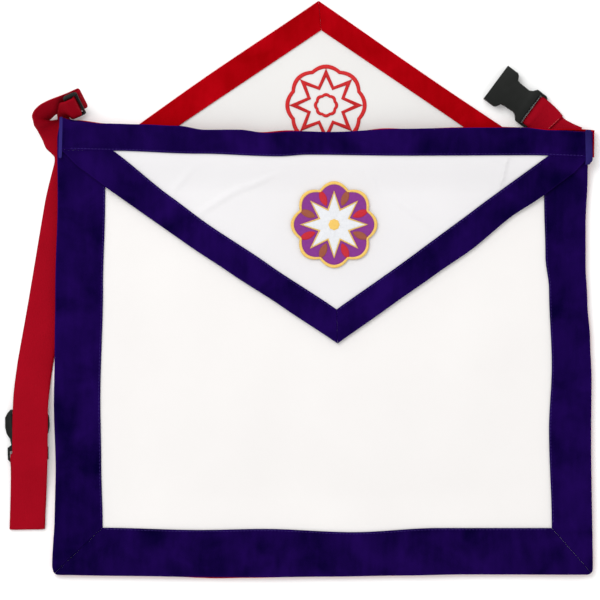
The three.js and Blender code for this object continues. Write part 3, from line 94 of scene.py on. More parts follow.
class Side(Enum):
    """Side of the apron as the photograph shows it."""

    LEFT = -1
    RIGHT = 1


# Plain number helpers.
def smooth(distance: Array, reach: float) -> Array:
    """Eases from 0 to 1 as distance goes from 0 to reach: t * t * (3 - 2 t)."""
    t = np.clip(np.asarray(distance, float) / reach, 0.0, 1.0)
    return t * t * (3.0 - 2.0 * t)


def mix(a: Array, b: Array, t: Array) -> Array:
    """The value a share t of the way from a to b."""
    return a + (b - a) * t


def read(rows: Rows, place: Array, column: int = 1) -> Array:
    """Reads a column of a table between its rows, easing from row to row.

    Args:
        rows: table whose first column is the place.
        place: where to read it.
        column: which column to read.

    Returns:
        The table's value at each place.
    """
    table = np.array(rows, float)
    at, out = table[:, 0], table[:, column]
    place = np.clip(place, at[0], at[-1])
    i = np.clip(np.searchsorted(at, place, side="left"), 1, len(at) - 1)
    t = (place - at[i - 1]) / (at[i] - at[i - 1])
    return mix(out[i - 1], out[i], t * t * (3.0 - 2.0 * t))


def heading(turn: Array, rise: Array) -> Array:
    """Unit vectors with a compass turn and a rise above the floor, both in degrees."""
    a, b = np.radians(turn), np.radians(rise)
    return np.stack([np.cos(b) * np.cos(a), np.cos(b) * np.sin(a), np.sin(b) + 0.0 * a], axis=-1)


def unit(v: Array) -> Array:
    """The vectors v with length 1."""
    return v / np.maximum(np.linalg.norm(v, axis=-1, keepdims=True), 1e-9)


def run_along(path: Array) -> Array:
    """Distance from a path's start to each of its points."""
    return np.concatenate([[0.0], np.cumsum(np.linalg.norm(np.diff(path, axis=0), axis=1))])


def flowing(keys: Array, steps: int) -> Array:
    """A curve through rows of values: each span is a cubic whose end slopes are limited thirds of its neighbours.

    Args:
        keys: one row of values for each key.
        steps: how many steps each span gets.

    Returns:
        The rows along the curve, keys included.
    """
    slope = np.zeros_like(keys)
    slope[1:-1] = 0.5 * (keys[2:] - keys[:-2])
    span = np.linalg.norm(np.diff(keys[:, :3], axis=0), axis=1)
    limit = np.minimum(span[1:], span[:-1]) / np.maximum(0.5 * (span[1:] + span[:-1]), 1e-9)
    slope[1:-1] *= np.clip(limit, 0.15, 1.0)[:, None]
    t = (np.arange(steps) / steps)[None, :, None]
    a, b = keys[:-1, None, :], keys[1:, None, :]
    m, n = slope[:-1, None, :], slope[1:, None, :]
    run = (
        (2 * t**3 - 3 * t**2 + 1) * a
        + (t**3 - 2 * t**2 + t) * m
        + (3 * t**2 - 2 * t**3) * b
        + (t**3 - t**2) * n
    )
    return np.concatenate([run.reshape(-1, keys.shape[1]), keys[-1:]])


# Closed bodies.
@dataclass
class Body:
    """Points, quads and end faces of one closed body, in millimetres from the middle of the apron's body."""

    points: Array
    quads: Array
    uv: Array
    ends: list[Array] = field(default_factory=list)
    crisp: Optional[Array] = None

    def volume(self) -> float:
        """Signed volume, as the sum of the tetrahedra from the first point to each face.

        Returns:
            Cubic millimetres, below 0 where the faces look inwards.
        """
        p = self.points - self.points[0]
        q = self.quads
        triangles = [q[:, [0, 1, 2]], q[:, [0, 2, 3]]]
        for end in self.ends:
            triangles.append(np.stack([np.full(len(end) - 2, end[0]), end[1:-1], end[2:]], axis=1))
        a, b, c = (p[np.concatenate(triangles)[:, k]] for k in range(3))
        return float(np.einsum("ij,ij->i", a, np.cross(b, c)).sum() / 6.0)

    def joined(self, other: "Body") -> "Body":
        """This body and another one as one mesh.

        Args:
            other: the body to add.

        Returns:
            A new body.
        """
        n = len(self.points)
        mine = self.crisp if self.crisp is not None else np.zeros(len(self.quads), bool)
        theirs = other.crisp if other.crisp is not None else np.zeros(len(other.quads), bool)
        return Body(
            np.concatenate([self.points, other.points]),
            np.concatenate([self.quads, other.quads + n]),
            np.concatenate([self.uv, other.uv]),
            self.ends + [end + n for end in other.ends],
            np.concatenate([mine, theirs]),
        )

    def outward(self) -> "Body":
        """The same body with every face turned outwards.

        Returns:
            This body, changed where it was inside out.
        """
        if self.volume() < 0.0:
            self.quads = self.quads[:, ::-1]
            self.ends = [end[::-1] for end in self.ends]
        return self


def sheet_body(low: Array, high: Array, uv: Array) -> Body:
    """A closed sheet between two grids of points, with crisp walls round its rim.

    Args:
        low: lower face, rows by columns by 3.
        high: upper face, the same shape.
        uv: rows by columns by 2, in metres.

    Returns:
        The closed body, faces outwards.
    """
    m, n = high.shape[:2]
    index = np.arange(m * n).reshape(m, n)
    top = np.stack([index[:-1, :-1], index[:-1, 1:], index[1:, 1:], index[1:, :-1]], axis=-1).reshape(-1, 4)
    base = top[:, ::-1] + m * n
    rim = np.concatenate([index[0, :-1], index[:-1, -1], index[-1, :0:-1], index[:0:-1, 0]])
    after = np.roll(rim, -1)
    walls = np.stack([rim, rim + m * n, after + m * n, after], axis=1)
    crisp = np.zeros(2 * len(top) + len(walls), bool)
    crisp[2 * len(top):] = True
    points = np.concatenate([high.reshape(-1, 3), low.reshape(-1, 3)])
    flat = uv.reshape(-1, 2)
    return Body(points, np.concatenate([top, base, walls]), np.concatenate([flat, flat]), [], crisp).outward()


def carried_body(loops: Array, uv: Array, closed: bool = False) -> Body:
    """A profile carried along a path: each loop is the profile at one place, and the ends are flat faces.

    Args:
        loops: places by profile points by 3.
        uv: places by profile points by 2, in metres.
        closed: whether the last place meets the first one.

    Returns:
        The closed body, faces outwards.
    """
    m, n = loops.shape[:2]
    index = np.arange(m * n).reshape(m, n)
    here = index if closed else index[:-1]
    there = np.roll(index, -1, axis=0) if closed else index[1:]
    quads = np.stack([here, np.roll(here, -1, axis=1), np.roll(there, -1, axis=1), there], axis=-1)
    ends = [] if closed else [index[0][::-1].copy(), index[-1].copy()]
    return Body(loops.reshape(-1, 3), quads.reshape(-1, 4), uv.reshape(-1, 2), ends).outward()


def ring_body(outer: Array, inner: Array, z: Array, height: float, across: int = 8) -> Body:
    """A closed band of raised thread between two outlines: a low half round, flat underneath.

    Args:
        outer: outer outline, places by 2.
        inner: inner outline at the same places.
        z: height of the flat underside at each place.
        height: how far the crown stands above the underside.
        across: how many points the crown has.

    Returns:
        The closed ring, with the thread's way along it as the first part of its UV.
    """
    v = np.linspace(0.0, 1.0, across)
    plan = mix(outer[:, None, :], inner[:, None, :], v[None, :, None])
    rise = height * (0.3 + 0.7 * np.sqrt(np.maximum(0.0, 1.0 - (2.0 * v - 1.0) ** 2)))
    crown = np.concatenate([plan, (z[:, None] + rise[None, :])[:, :, None]], axis=2)
    foot = np.stack([crown[:, -1], crown[:, 0]], axis=1)
    foot[:, :, 2] = z[:, None]
    loops = np.concatenate([crown, foot], axis=1)
    middle = 0.5 * (outer + inner)
    run = run_along(middle)
    uv = np.zeros(loops.shape[:2] + (2,))
    uv[:, :, 0] = run[:, None] * MILLIMETRE
    uv[:, :across, 1] = (v * np.linalg.norm(outer - inner, axis=1).mean())[None, :] * MILLIMETRE
    return carried_body(loops, uv, closed=True)


def patch_body(outline: Array, centre: Array, z: float, height: float, crown: Callable[[Array, Array], Array],
               rings: int = 14) -> Body:
    """A raised patch inside a star-shaped outline: rings of points shrink from the outline to its centre.

    Args:
        outline: points round the patch, places by 2, measured from the centre.
        centre: the patch's middle in the plan.
        z: height of its flat underside.
        height: thickness at the rim, half of it rounded away.
        crown: extra height from the share of the way out and the place's number.
        rings: how many rings of points it has.

    Returns:
        The closed patch; its UV is its plan in metres.
    """
    share = np.sqrt(np.linspace(1.0, 0.0, rings + 1)[:-1])
    share[0] = 1.0
    place = np.arange(len(outline))
    plan = centre + outline[None, :, :] * share[:, None, None]
    edge = np.sqrt(np.clip(1.0 - share**10, 0.0, 1.0))[:, None]
    rise = height * (0.45 + 0.55 * edge) + crown(share[:, None], place[None, :])
    top = np.concatenate([plan, (z + rise)[:, :, None]], axis=2)
    base = top[:1].copy()
    base[:, :, 2] = z
    loops = np.concatenate([base, top])
    uv = loops[:, :, :2] * MILLIMETRE
    return carried_body(loops, uv)


def fused(bodies: Sequence[Body]) -> Body:
    """Several bodies as one mesh, in their order."""
    return reduce(Body.joined, bodies)


# Meshes.
def make_piece(name: str, body: Body, finish: "Finish", slot: Slot, replaces: Sequence[str] = (),
               weld: bool = False) -> bpy.types.Object:
    """Makes a Blender object of a body, gives it its finish and sets it on the root.

    Args:
        name: the piece's name.
        body: its points and faces.
        finish: its finish.
        slot: the record's material slot it stands for; not used.
        replaces: names of the frame's nodes that it stands for.
        weld: whether points that fall together are joined.

    Returns:
        The object.
    """
    mesh = bpy.data.meshes.new(name)
    corners = np.concatenate([body.quads.ravel(), *body.ends]).astype(np.int32)
    counts = np.array([4] * len(body.quads) + [len(end) for end in body.ends])
    starts = np.concatenate([[0], np.cumsum(counts)[:-1]]).astype(np.int32)
    mesh.vertices.add(len(body.points))
    mesh.vertices.foreach_set("co", ((body.points + BODY_MIDDLE) * MILLIMETRE).astype(np.float32).ravel())
    mesh.loops.add(len(corners))
    mesh.loops.foreach_set("vertex_index", corners)
    mesh.polygons.add(len(counts))
    mesh.polygons.foreach_set("loop_start", starts)
    soft = np.ones(len(counts), bool)
    if body.crisp is not None:
        soft[: len(body.quads)] = ~body.crisp
    soft[len(body.quads):] = False
    mesh.polygons.foreach_set("use_smooth", soft)
    mesh.update(calc_edges=True)
    layer = mesh.uv_layers.new(name="UVMap")
    layer.data.foreach_set("uv", body.uv[corners].astype(np.float32).ravel())
    if weld:
        work = bmesh.new()
        work.from_mesh(mesh)
        bmesh.ops.remove_doubles(work, verts=work.verts, dist=4e-6)
        bmesh.ops.dissolve_degenerate(work, edges=work.edges, dist=1e-6)
        work.to_mesh(mesh)
        work.free()
    mesh.validate()
    piece = bpy.data.objects.new(name, mesh)
    bpy.context.scene.collection.objects.link(piece)
    mesh.materials.append(finish.material())
    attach(piece, "root")
    if replaces:
        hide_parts(*replaces)
    return piece


@dataclass(frozen=True)
class Cut:
    """A piece of cloth as it was cut, in millimetres: width, length, and square millimetres if not a rectangle."""

    width: float
    length: float
    area: Optional[float] = None

    def declare(self, piece: bpy.types.Object, rests_on: Sequence[str], held: Held = Held.LAID,
                with_pieces: Sequence[bpy.types.Object] = ()) -> None:
        """Takes a piece as this cut and does nothing with it; its mesh isn't looked at.

        Args:
            piece: the sheet; not used.
            rests_on: what it lies on; not used.
            held: how it is held; not used.
            with_pieces: small pieces that go with it; not used.
        """


# Cuts by CAD node, from the CAD's driving sizes: a border is its face plus 2.3 to 3.05 for the edge that is folded
# round the cloth, less its mitres; the cloths are the body and the two triangles less their insets; the straps are
# the webbing's width by the run of the CAD's sections.
CUTS: dict[str, Cut] = {
    "front_panel": Cut(404.7, 337.7),
    "back_panel": Cut(404.7, 337.7),
    "front_border_left": Cut(38.4, 341.0, 12440.0),
    "front_border_right": Cut(33.7, 341.0, 10920.0),
    "front_border_bottom": Cut(38.2, 408.0, 14370.0),
    "back_border_left": Cut(38.4, 321.0, 11670.0),
    "back_border_right": Cut(33.7, 321.0, 10240.0),
    "back_border_bottom": Cut(38.2, 408.0, 14370.0),
    "front_top_band": Cut(23.0, 411.0),
    "back_top_band": Cut(22.4, 413.0),
    "front_flap_panel": Cut(403.0, 163.4, 36940.0),
    "front_flap_border_left": Cut(23.7, 249.4, 5390.0),
    "front_flap_border_right": Cut(23.7, 249.4, 5390.0),
    "back_flap_panel": Cut(342.0, 117.5, 20090.0),
    "back_flap_border_left": Cut(19.3, 207.5, 3690.0),
    "back_flap_border_right": Cut(19.3, 207.5, 3690.0),
    "belt_left": Cut(27.0, 510.0),
    "belt_right": Cut(27.0, 64.1),
}


def velvet_piece(node: str, body: Body, finish: "Finish", slot: Slot, rests_on: str) -> bpy.types.Object:
    """Args:
        node: the frame's node, whose name it takes.
        body: its points and faces.
        finish: its finish.
        slot: the record's material slot it stands for.
        rests_on: what it lies on.

    Returns:
        The object.
    """
    piece = make_piece(f"{node}_velvet", body, finish, slot, [node])
    CUTS[node].declare(piece, [rests_on])
    return piece


# Shader nodes.
class Sketch:
    """Adds and links the nodes of one node tree."""

    def __init__(self, tree: bpy.types.NodeTree) -> None:
        """Keeps the tree."""
        self.tree = tree

    def node(self, kind: str, links: Optional[dict] = None, values: Optional[dict] = None,
             **properties) -> bpy.types.Node:
        """Adds a node.

        Args:
            kind: the node's type name.
            links: input names or numbers and the output sockets that feed them.
            values: input names or numbers and the constants set on them.
            properties: the node's own properties.

        Returns:
            The node.
        """
        node = self.tree.nodes.new(kind)
        for key, value in properties.items():
            setattr(node, key, value)
        for key, value in (values or {}).items():
            node.inputs[key].default_value = value
        for key, socket in (links or {}).items():
            self.tree.links.new(socket, node.inputs[key])
        return node

    def math(self, operation: str, a: object, b: object = None) -> bpy.types.NodeSocket:
        """One arithmetic step on sockets or numbers, and its output socket.

        Args:
            operation: the Math node's operation.
            a: first socket or number.
            b: second one, where the operation has two.

        Returns:
            The output socket.
        """
        node = self.tree.nodes.new("ShaderNodeMath")
        node.operation = operation
        for i, value in enumerate((a, b)):
            if isinstance(value, bpy.types.NodeSocket):
                self.tree.links.new(value, node.inputs[i])
            elif value is not None:
                node.inputs[i].default_value = value
        return node.outputs[0]


def new_group(name: str, inputs: Sequence[tuple], outputs: Sequence[str]) -> tuple:
    """Starts a shader node group with named sockets.

    Args:
        name: the group's name.
        inputs: (name, socket type, value) for each input.
        outputs: names of its number outputs.

    Returns:
        The group, its sketch, its input node and its output node.
    """
    group = bpy.data.node_groups.new(name, "ShaderNodeTree")
    for label, kind, value in inputs:
        socket = group.interface.new_socket(label, in_out="INPUT", socket_type=kind)
        if value is not None:
            socket.default_value = value
    for label in outputs:
        group.interface.new_socket(label, in_out="OUTPUT", socket_type="NodeSocketFloat")
    return group, Sketch(group), group.nodes.new("NodeGroupInput"), group.nodes.new("NodeGroupOutput")


def weave_group() -> bpy.types.NodeTree:
    """Plain weave: warp and weft threads, each a raised sine, take turns on top in a checkerboard.

    Returns:
        The group, which is built once.
    """
    found = bpy.data.node_groups.get("plain_weave")
    if found:
        return found
    group, s, source, sink = new_group(
        "plain_weave",
        [("Vector", "NodeSocketVector", None), ("Along", "NodeSocketFloat", 2000.0),
         ("Across", "NodeSocketFloat", 2000.0), ("Unevenness", "NodeSocketFloat", 0.3)],
        ["Height", "Shade"],
    )
    axes = s.node("ShaderNodeSeparateXYZ", {0: source.outputs["Vector"]})
    u = s.math("MULTIPLY", axes.outputs[0], source.outputs["Along"])
    v = s.math("MULTIPLY", axes.outputs[1], source.outputs["Across"])
    su, sv = s.math("SINE", u), s.math("SINE", v)
    turn = s.math("GREATER_THAN", s.math("MULTIPLY", su, sv), 0.0)
    warp = s.math("MULTIPLY", s.math("ABSOLUTE", su), turn)
    weft = s.math("MULTIPLY", s.math("ABSOLUTE", sv), s.math("SUBTRACT", 1.0, turn))
    thread = s.math("ADD", warp, weft)
    slub = s.node("ShaderNodeTexNoise", {0: source.outputs["Vector"]}, {"Scale": 420.0, "Detail": 2.0})
    uneven = s.math("MULTIPLY", slub.outputs[0], source.outputs["Unevenness"])
    height = s.math("ADD", thread, uneven)
    s.tree.links.new(height, sink.inputs["Height"])
    # Shade is lighter on the threads' crowns and darker between them, painted shade in the weave's hollows, with the
    # slub's uneven tone on top.
    s.tree.links.new(s.math("ADD", 0.72, s.math("MULTIPLY", height, 0.28)), sink.inputs["Shade"])
    return group


def nap_group() -> bpy.types.NodeTree:
    """Velvet nap: broad brushed patches, stretched along one axis, over a very fine pile.

    Returns:
        The group, which is built once.
    """
    found = bpy.data.node_groups.get("brushed_nap")
    if found:
        return found
    group, s, source, sink = new_group(
        "brushed_nap",
        [("Vector", "NodeSocketVector", None), ("Patch", "NodeSocketFloat", 26.0), ("Pile", "NodeSocketFloat", 2600.0)],
        ["Shade", "Height"],
    )
    broad = s.node("ShaderNodeTexNoise", {0: source.outputs["Vector"], "Scale": source.outputs["Patch"]},
                   {"Detail": 3.0, "Roughness": 0.55, "Distortion": 0.4})
    streak = s.node("ShaderNodeMapping", {0: source.outputs["Vector"]}, {"Scale": (3.2, 0.8, 1.0)})
    brushed = s.node("ShaderNodeTexNoise", {0: streak.outputs[0]}, {"Scale": 60.0, "Detail": 2.0, "Roughness": 0.5})
    pile = s.node("ShaderNodeTexNoise", {0: source.outputs["Vector"], "Scale": source.outputs["Pile"]},
                  {"Detail": 2.0, "Roughness": 0.6})
    fine = s.math("MULTIPLY", pile.outputs[0], 0.3)
    patches = s.math("ADD", s.math("MULTIPLY", broad.outputs[0], 0.67), s.math("MULTIPLY", brushed.outputs[0], 0.18))
    contrast = s.math("MULTIPLY", s.math("SUBTRACT", s.math("ADD", patches, fine), 0.575), 3.4)
    s.tree.links.new(s.math("ADD", contrast, 0.5), sink.inputs["Shade"])
    s.tree.links.new(s.math("ADD", pile.outputs[0], s.math("MULTIPLY", broad.outputs[0], 0.5)), sink.inputs["Height"])
    return group


def satin_group() -> bpy.types.NodeTree:
    """Satin stitch: parallel raised threads across one coordinate, a little uneven in height and place.

    Returns:
        The group, which is built once.
    """
    found = bpy.data.node_groups.get("satin_stitch")
    if found:
        return found
    group, s, source, sink = new_group(
        "satin_stitch",
        [("Vector", "NodeSocketVector", None), ("Threads", "NodeSocketFloat", 9000.0)],
        ["Height", "Shade"],
    )
    waver = s.node("ShaderNodeTexNoise", {0: source.outputs["Vector"]}, {"Scale": 500.0, "Detail": 1.0})
    axes = s.node("ShaderNodeSeparateXYZ", {0: source.outputs["Vector"]})
    phase = s.math("ADD", s.math("MULTIPLY", axes.outputs[0], source.outputs["Threads"]),
                   s.math("MULTIPLY", waver.outputs[0], 2.2))
    ridge = s.math("ABSOLUTE", s.math("SINE", phase))
    s.tree.links.new(ridge, sink.inputs["Height"])
    # Lighter on each thread's crown, a painted highlight, plus an uneven random tone.
    shade = s.math("ADD", s.math("MULTIPLY", ridge, 0.35), s.math("MULTIPLY", waver.outputs[0], 0.5))
    s.tree.links.new(s.math("ADD", 0.35, shade), sink.inputs["Shade"])
    return group


# Finishes.
@dataclass(frozen=True)
class Finish:
    """A procedural finish: two colours mixed by a pattern, and a bump from the same pattern."""

    name: str
    dark: tuple[float, float, float]
    light: tuple[float, float, float]
    roughness: float = 0.85
    bump: float = 0.00006
    sheen: float = 0.0
    sheen_tint: tuple[float, float, float] = (1.0, 1.0, 1.0)
    specular: float = 0.3

    def pattern(self, s: Sketch, place: bpy.types.Node) -> tuple:
        """The pattern of this kind of finish.

        Args:
            s: the material's sketch.
            place: its texture coordinate node.

        Returns:
            The shade and height sockets.
        """
        raise NotImplementedError

    def material(self) -> bpy.types.Material:
        """Builds the material once and returns it.

        Returns:
            The material.
        """
        found = bpy.data.materials.get(self.name)
        if found:
            return found
        material = bpy.data.materials.new(self.name)
        material.use_nodes = True
        s = Sketch(material.node_tree)
        shader = material.node_tree.nodes["Principled BSDF"]
        place = s.node("ShaderNodeTexCoord")
        shade, height = self.pattern(s, place)
        ramp = s.node("ShaderNodeMix", {0: shade}, data_type="RGBA", clamp_factor=True)
        ramp.inputs[6].default_value = (*self.dark, 1.0)
        ramp.inputs[7].default_value = (*self.light, 1.0)
        s.tree.links.new(ramp.outputs[2], shader.inputs["Base Color"])
        bump = s.node("ShaderNodeBump", {"Height": height}, {"Distance": self.bump, "Strength": 1.0})
        s.tree.links.new(bump.outputs[0], shader.inputs["Normal"])
        shader.inputs["Roughness"].default_value = self.roughness
        shader.inputs["Specular IOR Level"].default_value = self.specular
        shader.inputs["Sheen Weight"].default_value = self.sheen
        shader.inputs["Sheen Roughness"].default_value = 0.35
        shader.inputs["Sheen Tint"].default_value = (*self.sheen_tint, 1.0)
        return material


@dataclass(frozen=True)
class Cloth(Finish):
    """Plain woven cotton face cloth with faint soft tone changes."""

    def pattern(self, s: Sketch, place: bpy.types.Node) -> tuple:
        """Plain weave at 0.5 mm, toned by a broad noise.

        Returns:
            The shade and height sockets.
        """
        weave = s.node("ShaderNodeGroup", node_tree=weave_group())
        s.tree.links.new(place.outputs["Object"], weave.inputs["Vector"])
        weave.inputs["Along"].default_value = 6800.0
        weave.inputs["Across"].default_value = 6200.0
        tone = s.node("ShaderNodeTexNoise", {0: place.outputs["Object"]}, {"Scale": 11.0, "Detail": 3.0})
        # The weave's shade carries its painted shade between the threads.
        shade = s.math("ADD", s.math("MULTIPLY", weave.outputs["Shade"], 0.45),
                       s.math("MULTIPLY", tone.outputs[0], 0.6))
        return shade, weave.outputs["Height"]


@dataclass(frozen=True)
class Velvet(Finish):
    """Short-piled velvet with brushed patches, and a painted highlight along its edges where it turns over."""

    patch: float = 26.0
    # How much lighter the edges are painted, a painted highlight where the nap turns over, and how far in from the edge
    # it fades, in metres.
    rim: float = 0.5
    edge_highlight_width: float = 0.0014

    def pattern(self, s: Sketch, place: bpy.types.Node) -> tuple:
        """Brushed nap plus a painted highlight along the edges: the piece's own UV holds the distance to the nearer
        edge.

        Returns:
            The shade and height sockets.
        """
        nap = s.node("ShaderNodeGroup", node_tree=nap_group())
        s.tree.links.new(place.outputs["Object"], nap.inputs["Vector"])
        nap.inputs["Patch"].default_value = self.patch
        axes = s.node("ShaderNodeSeparateXYZ", {0: place.outputs["UV"]})
        # 1 at the nearer edge, falling to 0 one highlight width in: added to the shade as a painted highlight.
        close = s.math("MAXIMUM", s.math("SUBTRACT", 1.0, s.math("DIVIDE", axes.outputs[1], self.edge_highlight_width)), 0.0)
        shade = s.math("ADD", nap.outputs["Shade"], s.math("MULTIPLY", close, self.rim))
        return shade, nap.outputs["Height"]


@dataclass(frozen=True)
class Webbing(Finish):
    """Woven belt webbing: ribs across the strap, finer threads along it."""

    def pattern(self, s: Sketch, place: bpy.types.Node) -> tuple:
        """Plain weave on the strap's own UV: threads 0.8 mm apart along it and 1.3 mm apart across it.

        Returns:
            The shade and height sockets.
        """
        weave = s.node("ShaderNodeGroup", node_tree=weave_group())
        s.tree.links.new(place.outputs["UV"], weave.inputs["Vector"])
        weave.inputs["Along"].default_value = 3900.0
        weave.inputs["Across"].default_value = 2500.0
        tone = s.node("ShaderNodeTexNoise", {0: place.outputs["Object"]}, {"Scale": 45.0, "Detail": 3.0})
        # The weave's shade carries its painted shade between the threads.
        shade = s.math("ADD", s.math("MULTIPLY", weave.outputs["Shade"], 0.6), s.math("MULTIPLY", tone.outputs[0], 0.4))
        return shade, weave.outputs["Height"]


@dataclass(frozen=True)
class Thread(Finish):
    """Glossy embroidery thread laid side by side."""

    pitch: float = 9000.0

    def pattern(self, s: Sketch, place: bpy.types.Node) -> tuple:
        """Satin stitch across the piece's own UV.

        Returns:
            The shade and height sockets.
        """
        satin = s.node("ShaderNodeGroup", node_tree=satin_group())
        s.tree.links.new(place.outputs["UV"], satin.inputs["Vector"])
        satin.inputs["Threads"].default_value = self.pitch
        # The satin's shade holds a painted highlight on each thread's crown.
        return satin.outputs["Shade"], satin.outputs["Height"]


@dataclass(frozen=True)
class MouldedPlastic(Finish):
    """Black moulded plastic with a fine spark-eroded grain and a few rubbed spots."""

    def pattern(self, s: Sketch, place: bpy.types.Node) -> tuple:
        """Fine cellular grain over a soft noise.

        Returns:
            The shade and height sockets.
        """
        grain = s.node("ShaderNodeTexVoronoi", {0: place.outputs["Object"]}, {"Scale": 2400.0})
        rub = s.node("ShaderNodeTexNoise", {0: place.outputs["Object"]}, {"Scale": 190.0, "Detail": 4.0})
        return rub.outputs[0], s.math("ADD", grain.outputs[0], s.math("MULTIPLY", rub.outputs[0], 0.6))


@dataclass(frozen=True)
class Finishes:
    """All finishes of the apron, as linear colours."""

    panel: Finish = Cloth("white_cotton", (0.6975, 0.675, 0.6615), (0.7875, 0.7677, 0.7542), 0.9, 0.00003, 0.05)
    flap: Finish = Cloth("white_cotton_flap", (0.639, 0.6273, 0.6372), (0.7398, 0.7272, 0.738), 0.9, 0.00003, 0.05)
    raised: Finish = Cloth("white_cotton_raised", (0.63, 0.621, 0.6075), (0.72, 0.711, 0.6975), 0.9, 0.00003, 0.05)
    purple: Finish = Velvet("indigo_velvet", (0.0018, 0.0003, 0.0215), (0.0115, 0.0018, 0.068), 0.95, 0.00005, 0.02,
                            (0.2, 0.14, 0.9), 0.008)
    # The band's folded ends: the indigo velvet painted lighter, a painted highlight where the folds catch the light.
    fold: Finish = Velvet("indigo_velvet_fold_painted_highlight", (0.0108, 0.0072, 0.063), (0.027, 0.018, 0.135), 0.9, 0.00005, 0.05,
                          (0.25, 0.2, 0.9), 0.02, 60.0)
    red: Finish = Velvet("red_velvet", (0.243, 0, 0.0014), (0.378, 0.0007, 0.0045), 0.9, 0.00004, 0.0, (1.0, 0.2, 0.2),
                         0.01)
    webbing: Finish = Webbing("red_webbing", (0.18, 0.0004, 0.0034), (0.332, 0.0019, 0.0112), 0.7, 0.0001, 0.0,
                              (1.0, 0.3, 0.3), 0.03)
    plastic: Finish = MouldedPlastic("black_moulded_plastic", (0.0036, 0.0045, 0.0036), (0.0081, 0.009, 0.0081), 0.42,
                                     0.00001, 0.0, (1.0, 1.0, 1.0), 0.14)
    gold: Finish = Thread("gold_thread", (0.648, 0.36, 0.054), (0.9, 0.594, 0.144), 0.5, 0.00012)
    violet: Finish = Thread("violet_thread", (0.117, 0.0108, 0.144), (0.234, 0.027, 0.261), 0.5, 0.0001)
    silver: Finish = Thread("silver_thread", (0.558, 0.576, 0.612), (0.774, 0.783, 0.81), 0.45, 0.0001)
    crimson: Finish = Thread("crimson_thread", (0.324, 0.0036, 0.0135), (0.54, 0.0108, 0.027), 0.5, 0.0001)
    brown: Finish = Thread("brown_thread", (0.18, 0.0405, 0.0162), (0.324, 0.081, 0.0405), 0.5, 0.0001)
    red_line: Finish = Thread("red_thread", (0.405, 0.0036, 0.0054), (0.612, 0.0108, 0.0126), 0.5, 0.0001)
    sewing: Finish = Thread("purple_sewing_thread", (0.018, 0.0054, 0.108), (0.045, 0.018, 0.198), 0.6, 0.00004)
    sewing_red: Finish = Thread("red_sewing_thread", (0.45, 0.027, 0.045), (0.594, 0.081, 0.09), 0.6, 0.00004)


# Outline tables: place along the edge as a share of its length, then how far out it lies as a share of the width.
LEFT_EDGE: Rows = (
    (-0.022, 0.0101), (0.027, 0.0045), (0.161, 0.0048), (0.359, 0.0004), (0.502, -0.0007), (0.618, -0.0024),
    (0.763, 0.0009), (0.853, -0.0006), (0.978, -0.0056), (1.01, -0.0037),
)
RIGHT_EDGE: Rows = (
    (0.0, -0.0062), (0.116, -0.0069), (0.217, -0.0104), (0.304, -0.0104), (0.388, -0.0071), (0.473, -0.0019),
    (0.56, 0.0007), (0.696, 0.0), (1.0, 0.0032),
)
LEFT_LINE: Rows = ((0.0, 0.0936), (0.161, 0.0936), (0.359, 0.0895), (0.607, 0.0845), (0.741, 0.0861), (0.893, 0.0889))
RIGHT_LINE: Rows = (
    (0.0, -0.0891), (0.161, -0.088), (0.288, -0.0856), (0.359, -0.0789), (0.531, -0.0737), (0.674, -0.0789),
    (0.893, -0.0737),
)
TOP_EDGE: Rows = (
    (0.004, 0.0198), (0.017, 0.0183), (0.032, 0.0117), (0.093, 0.0078), (0.158, 0.0065), (0.229, 0.0037),
    (0.28, -0.0037), (0.343, -0.0034), (0.393, -0.0093), (0.449, -0.0063), (0.513, -0.0078), (0.643, -0.0019),
    (0.783, 0.0004), (0.873, 0.0004), (0.923, -0.0048), (0.999, -0.0075),
)
BAND_LINE: Rows = (
    (0.004, -0.041), (0.108, -0.0431), (0.27, -0.0485), (0.418, -0.0533), (0.472, -0.0503), (0.643, -0.0522),
    (0.882, -0.0515), (0.999, -0.055),
)
FOOT_LINE: Rows = ((0.088, 0.0902), (0.27, 0.0861), (0.39, 0.088), (0.556, 0.082), (0.714, 0.0897), (0.927, 0.0897))
FOOT_EDGE: Rows = (
    (-0.004, 0.0019), (0.136, 0.0), (0.27, -0.0019), (0.39, -0.0024), (0.509, -0.0013), (0.643, 0.0007),
    (0.763, 0.0028), (1.003, 0.0024),
)
RED_FRINGE: Rows = (
    (0.0, 0.0), (0.05, 0.003), (0.11, 0.0), (0.36, 0.0), (0.42, 0.0028), (0.48, 0.0), (0.57, 0.0), (0.61, 0.002),
    (0.66, 0.0), (0.76, 0.0012), (0.83, 0.0016), (0.87, 0.0006), (0.92, 0.0026), (0.975, 0.0046), (1.0, 0.003),
)
FOOT_FRINGE: Rows = ((0.0, 0.0), (0.22, 0.0002), (0.3, 0.0026), (0.36, 0.0014), (0.45, 0.0), (1.0, 0.0))
# Inner edge of the strap that the apron's left edge lies over: down the apron, out from the corner.
STRAP_LINE: Rows = ((0.6, 1.0), (1.2, 0.97), (2.23, 0.7), (5.0, 0.231), (7.27, -0.149))
# Slow bows of the flaps' slanting edges: share from the base to the tip, then left and right.
FLAP_OUTER_BOW: Rows = (
    (0.0, 0.0, 0.0), (0.08, 0.0072, 0.006), (0.2, 0.009, 0.0062), (0.31, 0.0092, 0.0024), (0.48, 0.0092, 0.0076),
    (0.62, 0.007, 0.0048), (0.8, 0.003, 0.0024), (1.0, 0.0, 0.0),
)
FLAP_INNER_BOW: Rows = (
    (0.0, 0.0, 0.0), (0.27, 0.0076, 0.0), (0.42, 0.0094, 0.001), (0.7, 0.005, 0.002), (1.0, 0.0, 0.0),
)
RAISED_BOW: Rows = ((0.0, 0.0, 0.0), (0.5, 0.003, -0.002), (1.0, 0.0, 0.0))
